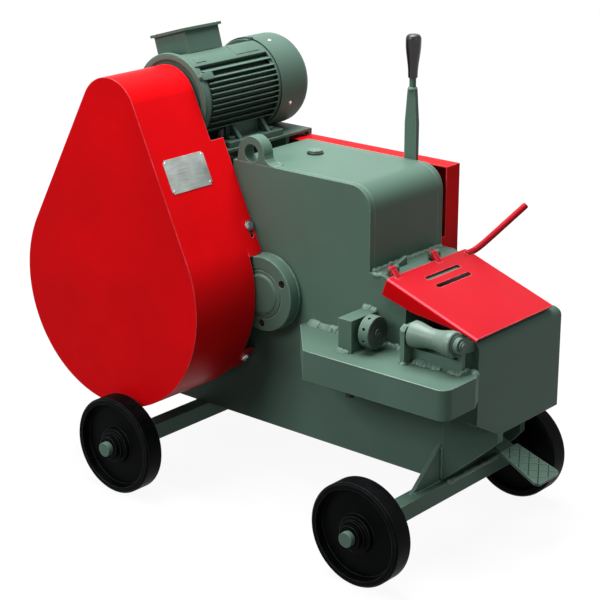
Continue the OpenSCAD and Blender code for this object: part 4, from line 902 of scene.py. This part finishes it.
def make_motor_screws():
    """Painted hex screws on the boss and at the rear, and the cowl's round screws."""
    bm = bmesh.new()
    hex_head(bm, round_motor(*BOSS_SCREW), heading(BOSS_SCREW[1]), 9, 5, 6.5, 0.4)
    for screw in REAR_SCREWS:
        hex_head(bm, round_motor(*screw), heading(screw[1]), 9, 8)
    piece("motor_screws", bm, FRAME, "motor_paint")
    bm = bmesh.new()
    for screw in COWL_SCREWS:
        turned(bm, round_motor(*screw), heading(screw[1]), COWL_SCREW, 20)
    piece("cowl_screws", bm, FRAME, "zinc_steel")


def make_terminal_lid():
    """The gasket under the terminal box's lid, and the lid's screws."""
    bm = bmesh.new()
    block(bm, *GASKET, on_box)
    soften(bm, 0.3, 2)
    piece("lid_gasket", bm, FRAME, "black_plastic")
    out_of_box = (math.sin(BOX_LEAN), 0, math.cos(BOX_LEAN))
    bm = bmesh.new()
    for screw in LID_SCREWS:
        turned(bm, on_box(*screw), out_of_box, LID_SCREW, 24)
    piece("lid_screws", bm, FRAME, "zinc_steel")


# Belt guard's plate and washers
BELT_X, _, BELT_Z = centre_of("flywheel")
BELT_RADIUS = corners_of("belt_guard")[1][0] - BELT_X
BELT_TILT = 24.87
# The plate's ends along the guard's flat, its sides and its two faces
PLATE_RUN = (142, 213.5)
PLATE_SIDES = (-190, -73.5)
PLATE_FACES = (BELT_RADIUS - 0.4, BELT_RADIUS + 0.9)
PLATE_CORNER = 4
RIVET_INSET = 6
RIVET = [(0, 0), (2.7, 0), (2.5, 0.7), (1.7, 1.3), (0, 1.6)]
WASHER = [(4.2, 0), (10.4, 0), (11, 0.4), (10.8, 1.7), (4.2, 1.7)]
WASHER_Y = -14
WASHER_PLACES = ((BELT_TILT, 39), (-38, 0), (250, 0))


def on_belt_guard(out, y, run, tilt=BELT_TILT):
    """A place out from the flywheel's axis at a tilt, then run along the guard's flat."""
    turn = math.radians(tilt)
    return at(BELT_X + out * math.cos(turn) - run * math.sin(turn), y,
              BELT_Z + out * math.sin(turn) + run * math.cos(turn))


def make_plate():
    """The bare plate with its rivets."""
    def place(run, y, out):
        return on_belt_guard(out, y, run)

    out = heading(BELT_TILT)
    low, high = zip(PLATE_RUN, PLATE_SIDES, PLATE_FACES)
    bm = bmesh.new()
    block(bm, low, high, place)
    posts = [e for e in bm.edges if abs((e.verts[0].co - e.verts[1].co).normalized().dot(out)) > 0.9]
    bmesh.ops.bevel(bm, geom=posts, offset=PLATE_CORNER / MM_PER_M, segments=4, affect="EDGES")
    piece("bare_plate", bm, FRAME, "plate_metal", 30)
    bm = bmesh.new()
    for run in (PLATE_RUN[0] + RIVET_INSET, PLATE_RUN[1] - RIVET_INSET):
        for y in (PLATE_SIDES[0] + RIVET_INSET, PLATE_SIDES[1] - RIVET_INSET):
            turned(bm, on_belt_guard(BELT_RADIUS + 0.7, y, run), out, RIVET, 18)
    piece("plate_rivets", bm, FRAME, "zinc_steel")


def make_guard_washers():
    """The washers of the guard's bolts."""
    bm = bmesh.new()
    for tilt, run in WASHER_PLACES:
        turned(bm, on_belt_guard(BELT_RADIUS + 0.1, WASHER_Y, run, tilt), heading(tilt), WASHER, 36)
    piece("guard_washers", bm, FRAME, "zinc_steel")


# Blade guard: a folded sheet with slots, hinge knuckles and a bent rod
HINGE_X = centre_of("hinge_lugs")[0]
HINGE_Z = corners_of("hinge_lugs")[1][2] - 7
SHEET_REAR = (HINGE_X + 10, HINGE_Z - 13)
SHEET_FRONT = (-3, NOSE_TOP + 2)
SHEET_SLOPE = math.atan2(SHEET_FRONT[1] - SHEET_REAR[1], SHEET_FRONT[0] - SHEET_REAR[0])
SHEET_RUN = math.dist(SHEET_REAR, SHEET_FRONT)
SHEET_NEAR = corners_of("blade_guard")[0][1]
SHEET_FAR = BODY_FAR + 18
SHEET_THICK = 3
SHEET_CORNER = 5
STATIONS = [SHEET_RUN * k / 46 for k in range(47)]
FOLD_ROUND = 6
FOLD_Y = SHEET_NEAR + FOLD_ROUND
# Depth of the flange at distances along the sheet
FLANGE = ((0, 34), (10, 34), (78, 29), (184, 5), (226, 0), (240, 0))
SLOT_RUNS = (38, 67)
SLOT_HALF = 5.4
SLOT_NEAR = 78
SLOT_FAR = 182
KNUCKLE_STARTS = (12, 149)
KNUCKLE = [(4.1, 0), (6.4, 0), (7, 0.6), (7, 15.4), (6.4, 16), (4.1, 16)]
STRAP_SIDES = (0.6, 15.4)
STRAP_LOW = ((HINGE_X + 1, HINGE_Z - 6.4), (HINGE_X + 16, HINGE_Z - 14))
STRAP_HIGH = ((HINGE_X + 3, HINGE_Z + 6), (HINGE_X + 22, HINGE_Z - 14.8))
HANDLE_FOOT = (14, 242, 3)
HANDLE_WAY = ((0, 0, 0), (0, 20, 0), (1, 27, 1), (4, 35, 5), (9, 45, 12), (15, 55, 21), (57, 129, 87))
HANDLE_RADIUS = 7
HANDLE_STEP = 3


def on_sheet(run, y, up):
    """A place along the sloping sheet and above its underside."""
    return at(SHEET_REAR[0] + run * math.cos(SHEET_SLOPE) - up * math.sin(SHEET_SLOPE), y,
              SHEET_REAR[1] + run * math.sin(SHEET_SLOPE) + up * math.cos(SHEET_SLOPE))


def flange_depth(run):
    for (a, deep), (b, shallow) in zip(FLANGE, FLANGE[1:]):
        if a <= run <= b:
            return deep + (shallow - deep) * (run - a) / (b - a)
    return 0


def arc(a, b, radius, start, count):
    """Pairs on an arc about (a, b), one every 15 degrees from start."""
    turns = [math.radians(start + 15 * k) for k in range(count)]
    return [(a + radius * math.cos(t), b + radius * math.sin(t)) for t in turns]


def slot_outline(run):
    return arc(run, SLOT_FAR, SLOT_HALF, 0, 13) + arc(run, SLOT_NEAR, SLOT_HALF, 180, 13)


def fold_row(bm, run, top, low):
    """The points around fold and flange at one station, from the sheet's top to its underside."""
    middle = SHEET_THICK - FOLD_ROUND
    outer = arc(FOLD_Y, middle, FOLD_ROUND, 105, 6)
    inner = arc(FOLD_Y, middle, FOLD_ROUND - SHEET_THICK, 105, 6)
    deep = min(middle - 0.4, -flange_depth(run))
    lip = [(SHEET_NEAR, deep), (SHEET_NEAR + SHEET_THICK, deep)]
    return [top] + [bm.verts.new(on_sheet(run, y, up)) for y, up in outer + lip + inner[::-1]] + [low]


def make_sheet(bm):
    """The flat and its near flange as one shell, with a rounded fold between them."""
    outline = [(run, FOLD_Y) for run in STATIONS]
    outline += arc(SHEET_RUN - SHEET_CORNER, SHEET_FAR - SHEET_CORNER, SHEET_CORNER, 0, 7)
    outline += arc(SHEET_CORNER, SHEET_FAR - SHEET_CORNER, SHEET_CORNER, 90, 7)
    flat = [outline] + [slot_outline(run) for run in SLOT_RUNS]
    top, low = [[[bm.verts.new(on_sheet(run, y, up)) for run, y in loop] for loop in flat]
                for up in (SHEET_THICK, 0)]
    fill(bm, top)
    fill(bm, low)
    for a, b in zip(top[1:], low[1:]):
        join(bm, a, b)
    for k in range(len(STATIONS) - 1, len(outline)):
        n = (k + 1) % len(outline)
        bm.faces.new((top[0][k], top[0][n], low[0][n], low[0][k]))
    rows = [fold_row(bm, run, top[0][k], low[0][k]) for k, run in enumerate(STATIONS)]
    for a, b in zip(rows, rows[1:]):
        for k in range(len(a) - 1):
            bm.faces.new((a[k], a[k + 1], b[k + 1], b[k]))
    bm.faces.new(rows[0])
    bm.faces.new(rows[-1])


def make_knuckles(bm):
    """The hinge's rolled ends, each on a strap down to the sheet."""
    for start in KNUCKLE_STARTS:
        turned(bm, at(HINGE_X, start, HINGE_Z), ACROSS, KNUCKLE, 32)
        near, far = [start + side for side in STRAP_SIDES]
        corners = []
        for (rear_x, rear_z), (front_x, front_z) in (STRAP_LOW, STRAP_HIGH):
            corners += [at(rear_x, near, rear_z), at(front_x, near, front_z),
                        at(front_x, far, front_z), at(rear_x, far, rear_z)]
        box(bm, corners)


def make_handle(bm):
    foot = on_sheet(*HANDLE_FOOT)
    path = resample([foot + Vector(way) / MM_PER_M for way in HANDLE_WAY], HANDLE_STEP / MM_PER_M)
    for _ in range(6):
        path = path[:1] + [(a + b * 2 + c) / 4 for a, b, c in zip(path, path[1:], path[2:])] + path[-1:]
    ends = (0, len(path) - 1)
    tube(bm, path, lambda i: HANDLE_RADIUS / MM_PER_M * (0.84 if i in ends else 1), 20)


def paint_guard(guard):
    """A painted highlight along the fold, and on the flange a lighter copy of the red, which is painted
    light.
    """
    guard.data.materials.append(materials["fold_red"])
    guard.data.materials.append(materials["flange_red"])
    above = Vector((-math.sin(SHEET_SLOPE), 0, math.cos(SHEET_SLOPE)))
    for polygon in guard.data.polygons:
        if polygon.center.y > NEAR_Y:
            continue
        # Flange faces take the painted-light red, fold faces the painted highlight.
        near = -polygon.normal.y
        if near > 0.9:
            polygon.material_index = 2
        elif near > 0.3 and 0.3 < polygon.normal.dot(above) < 0.98:
            polygon.material_index = 1


def make_blade_guard():
    bm = bmesh.new()
    make_sheet(bm)
    make_knuckles(bm)
    make_handle(bm)
    guard = piece("folded_guard", bm, "guard_flap", "guard_red", 40)
    paint_guard(guard)
    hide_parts("blade_guard")


# Pedal, knob, roller and lever
PEDAL_BOSS = 14
PEDAL_X = corners_of("pedal")[0][0] + PEDAL_BOSS
PEDAL_Z = corners_of("pedal")[1][2] - PEDAL_BOSS
PEDAL_TILT = math.radians(22)
TREAD_ENDS = (65, 165)
# Where the tread's plate starts, its length, half its width there and what that grows by
TREAD_START = 62
TREAD_LENGTH = 106
TREAD_NARROW = 27
TREAD_GROWTH = 11.5
TREAD_X = 115
TREAD_Y = centre_of("pedal")[1] - 2
TREAD_LEVEL = 5.0
TREAD_PITCH = 37
TREAD_STEP = 0.5
TREAD_RADIUS = 1
KNOB_X = corners_of("stop_screw")[1][0]
(_, KNOB_Y, KNOB_Z) = centre_of("stop_screw")
KNOB_FACE = [(0, -1), (31.2, -1), (31.6, 0.2), (30.6, 0.7), (25, 0.7), (24.6, 0.4), (20, 0.4), (19.6, 0.7),
             (13, 0.7), (12.6, 0.4), (8.2, 0.4), (7.8, 1.4), (6.8, 1.8), (3, 1.8), (2.2, 0.9), (0, 0.7)]
ROLLER_WASHER = [(8.2, 0), (18.4, 0), (19, 0.5), (19, 1.7), (18.4, 2.2), (8.2, 2.2)]
LEVER_X, LEVER_Y, _ = centre_of("lever_grip")
GRIP_FOOT = corners_of("lever_grip")[0][2]
NECK_Z = GRIP_FOOT - 21
NECK_WELD = [(7, -4), (9.6, -3), (10.4, -1), (9.2, 1.5), (7.8, 3), (7, 3)]
# The grip's waist and widest radius, and the height and roundness of its cap
GRIP_WAIST = 10.1
GRIP_WIDE = 16.2
GRIP_CAP = 80
GRIP_CAP_ROUND = (8, 9.8)


def on_pedal(x, y, z):
    """A place on the sloping pedal."""
    return at(PEDAL_X + x * math.cos(PEDAL_TILT) + z * math.sin(PEDAL_TILT), y,
              PEDAL_Z - x * math.sin(PEDAL_TILT) + z * math.cos(PEDAL_TILT))


def tread_half(x):
    """Half the tread's width, which grows towards the toe."""
    return TREAD_NARROW + (x - TREAD_START) / TREAD_LENGTH * TREAD_GROWTH


def make_tread(name, lean, material):
    """Slanting lines across the tread, cut off at its sides."""
    count = round((TREAD_ENDS[1] - TREAD_ENDS[0]) / TREAD_STEP)
    bm = bmesh.new()
    for k in range(-5, 6):
        inside = []
        for step in range(1, count):
            x = TREAD_ENDS[0] + step * TREAD_STEP
            aside = lean * (x - TREAD_X) + k * TREAD_PITCH
            if abs(aside) < tread_half(x):
                inside.append(on_pedal(x, TREAD_Y + aside, TREAD_LEVEL))
        if len(inside) > 8:
            tube(bm, [inside[0], inside[-1]], lambda i: TREAD_RADIUS / MM_PER_M, 6)
    piece(name, bm, "pedal_set", material)


def grip_profile():
    """A slim foot, a swelling waist and a rounded cap."""
    profile = [(0, 0), (8.6, 0), (9.6, 0.8), (10, 2.4), (GRIP_WAIST, 6)]
    for k in range(1, 17):
        swell = (1 - math.cos(math.pi * k / 16)) / 2
        profile.append((GRIP_WAIST + (GRIP_WIDE - GRIP_WAIST) * swell, 6 + 68 * k / 16))
    across, high = GRIP_CAP_ROUND
    for k in range(7):
        turn = math.radians(15 * k)
        profile.append((GRIP_WIDE - across + across * math.cos(turn), GRIP_CAP + high * math.sin(turn)))
    return profile + [(0, GRIP_CAP + high)]


def make_knob():
    """The turned face of the stop screw's knob."""
    turned_piece("knob_face", "stop_set", "knob_metal", at(KNOB_X, KNOB_Y, KNOB_Z), FORWARDS, KNOB_FACE, 64)


def make_roller_washer():
    place = at(ROLLER_FRONT + 0.4, ROLLER_Y, ROLLER_Z)
    turned_piece("roller_washer", FRAME, "fitting_paint", place, FORWARDS, ROLLER_WASHER, 48)


def make_lever():
    """The hand lever's grip, and the weld at the lever's neck."""
    foot = at(LEVER_X, LEVER_Y, GRIP_FOOT)
    grip = turned_piece("moulded_grip", "lever_set", "grip_plastic", foot, UPWARDS, grip_profile(), 56)
    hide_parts("lever_grip")
    neck = at(LEVER_X, LEVER_Y, NECK_Z)
    turned_piece("lever_neck_weld", "lever_set", "weld_paint", neck, UPWARDS, NECK_WELD, 32)


# Fasteners and small fittings
SCREW = {"across": 13, "height": 5.3, "washer": 9.5}
(COVER_REAR, _, COVER_LOW), (_, COVER_FAR, COVER_TOP) = corners_of("far_cover")
SCREW_SEAT = COVER_FAR - 0.2
SCREW_REAR = COVER_REAR + 20
SCREW_ROWS = ((COVER_LOW + 18, (SCREW_REAR, -740, -590, -440, -290)),
              (COVER_TOP - 22, (SCREW_REAR, -740, -590, -440)))
SCREW_SIDE = (350, 450, 550)
REAR_COLUMNS = (36, 204)
REAR_ROWS = (180, 320, 460, 590)
SHELF_ROUND = 22
SHELF_CLIP = 103
HIGHLIGHT_INSET = 0.4
PLUG_SEAL = [(11.5, 0), (17, 0), (17.6, 0.6), (17.6, 3.6), (17, 4.2), (11.5, 4.2)]
PLUG_X, PLUG_Y, _ = centre_of("oil_plug")
BOLT_X = STOP_FRONT - 6
BOLT_Y = STOP_NEAR + 6


def make_cover_screws():
    bm = bmesh.new()
    for z, row in SCREW_ROWS:
        for x in row:
            hex_head(bm, at(x, SCREW_SEAT, z), ACROSS, turn=x * 0.3, **SCREW)
    for z in SCREW_SIDE:
        hex_head(bm, at(SCREW_REAR, SCREW_SEAT, z), ACROSS, turn=z, **SCREW)
    piece("cover_screws", bm, FRAME, "zinc_steel")


def make_rear_screws():
    bm = bmesh.new()
    for y in REAR_COLUMNS:
        for z in REAR_ROWS:
            hex_head(bm, at(REAR_FACE, y, z), BACKWARDS, turn=z * 0.1, **SCREW)
    piece("rear_screws", bm, FRAME, "zinc_steel")


def make_edge_highlight():
    """A painted highlight along the shelf's upper edge: a thin pale tube that fades out around its front
    corner.
    """
    middle_x = SHELF_FRONT - SHELF_ROUND
    middle_y = SHELF_NEAR + SHELF_ROUND
    radius = SHELF_ROUND - HIGHLIGHT_INSET
    level = SHELF_TOP - HIGHLIGHT_INSET
    side = SHELF_NEAR + HIGHLIGHT_INSET
    way = [(SHELF_BACK + SHELF_CLIP, side, level), (middle_x, side, level)]
    for turn in (0.2, 0.4, 0.6, 0.8):
        way.append((middle_x + radius * math.sin(turn), middle_y - radius * math.cos(turn), level))
    path = resample([at(*point) for point in way], 0.004)
    last = len(path) - 1
    bm = bmesh.new()
    tube(bm, path, lambda i: 0.0004 + 0.0007 * min(1, 0.05 * i, 0.25 * (last - i)), 8)
    piece("shelf_edge_highlight", bm, FRAME, "edge_paint", 60)


def make_plug_seal():
    seat = at(PLUG_X, PLUG_Y, TOWER_TOP - 0.4)
    turned_piece("plug_seal", FRAME, "black_plastic", seat, UPWARDS, PLUG_SEAL, 48)


def make_shelf_bolt():
    """A bolt under the stop block, with its threaded end."""
    thread = [(7.6 if k % 2 else 6.7, k) for k in range(1, 20)]
    shank = [(0, -2), (7.6, -2)] + thread + [(5.8, 20), (0, 20.4)]
    bm = bmesh.new()
    hex_head(bm, at(BOLT_X, BOLT_Y, SHELF_UNDER + 0.1), DOWNWARDS, 24, 13, 15, 0.5)
    turned(bm, at(BOLT_X, BOLT_Y, SHELF_UNDER - 13.5), DOWNWARDS, shank, 28)
    piece("shelf_bolt", bm, FRAME, "dark_steel")


def main():
    scene.view_settings.view_transform = "Standard"
    make_camera()
    make_world()
    make_floor()
    make_lights()
    make_materials()
    make_welds()
    make_ledge_rib()
    make_shield()
    make_housing()
    make_pad()
    make_motor_screws()
    make_terminal_lid()
    make_plate()
    make_guard_washers()
    make_blade_guard()
    make_tread("tread_dark_lines", -1.5, "groove_paint")
    make_tread("tread_ribs", 1.5, "fitting_paint")
    make_knob()
    make_roller_washer()
    make_lever()
    make_cover_screws()
    make_rear_screws()
    make_edge_highlight()
    make_plug_seal()
    make_shelf_bolt()


main()
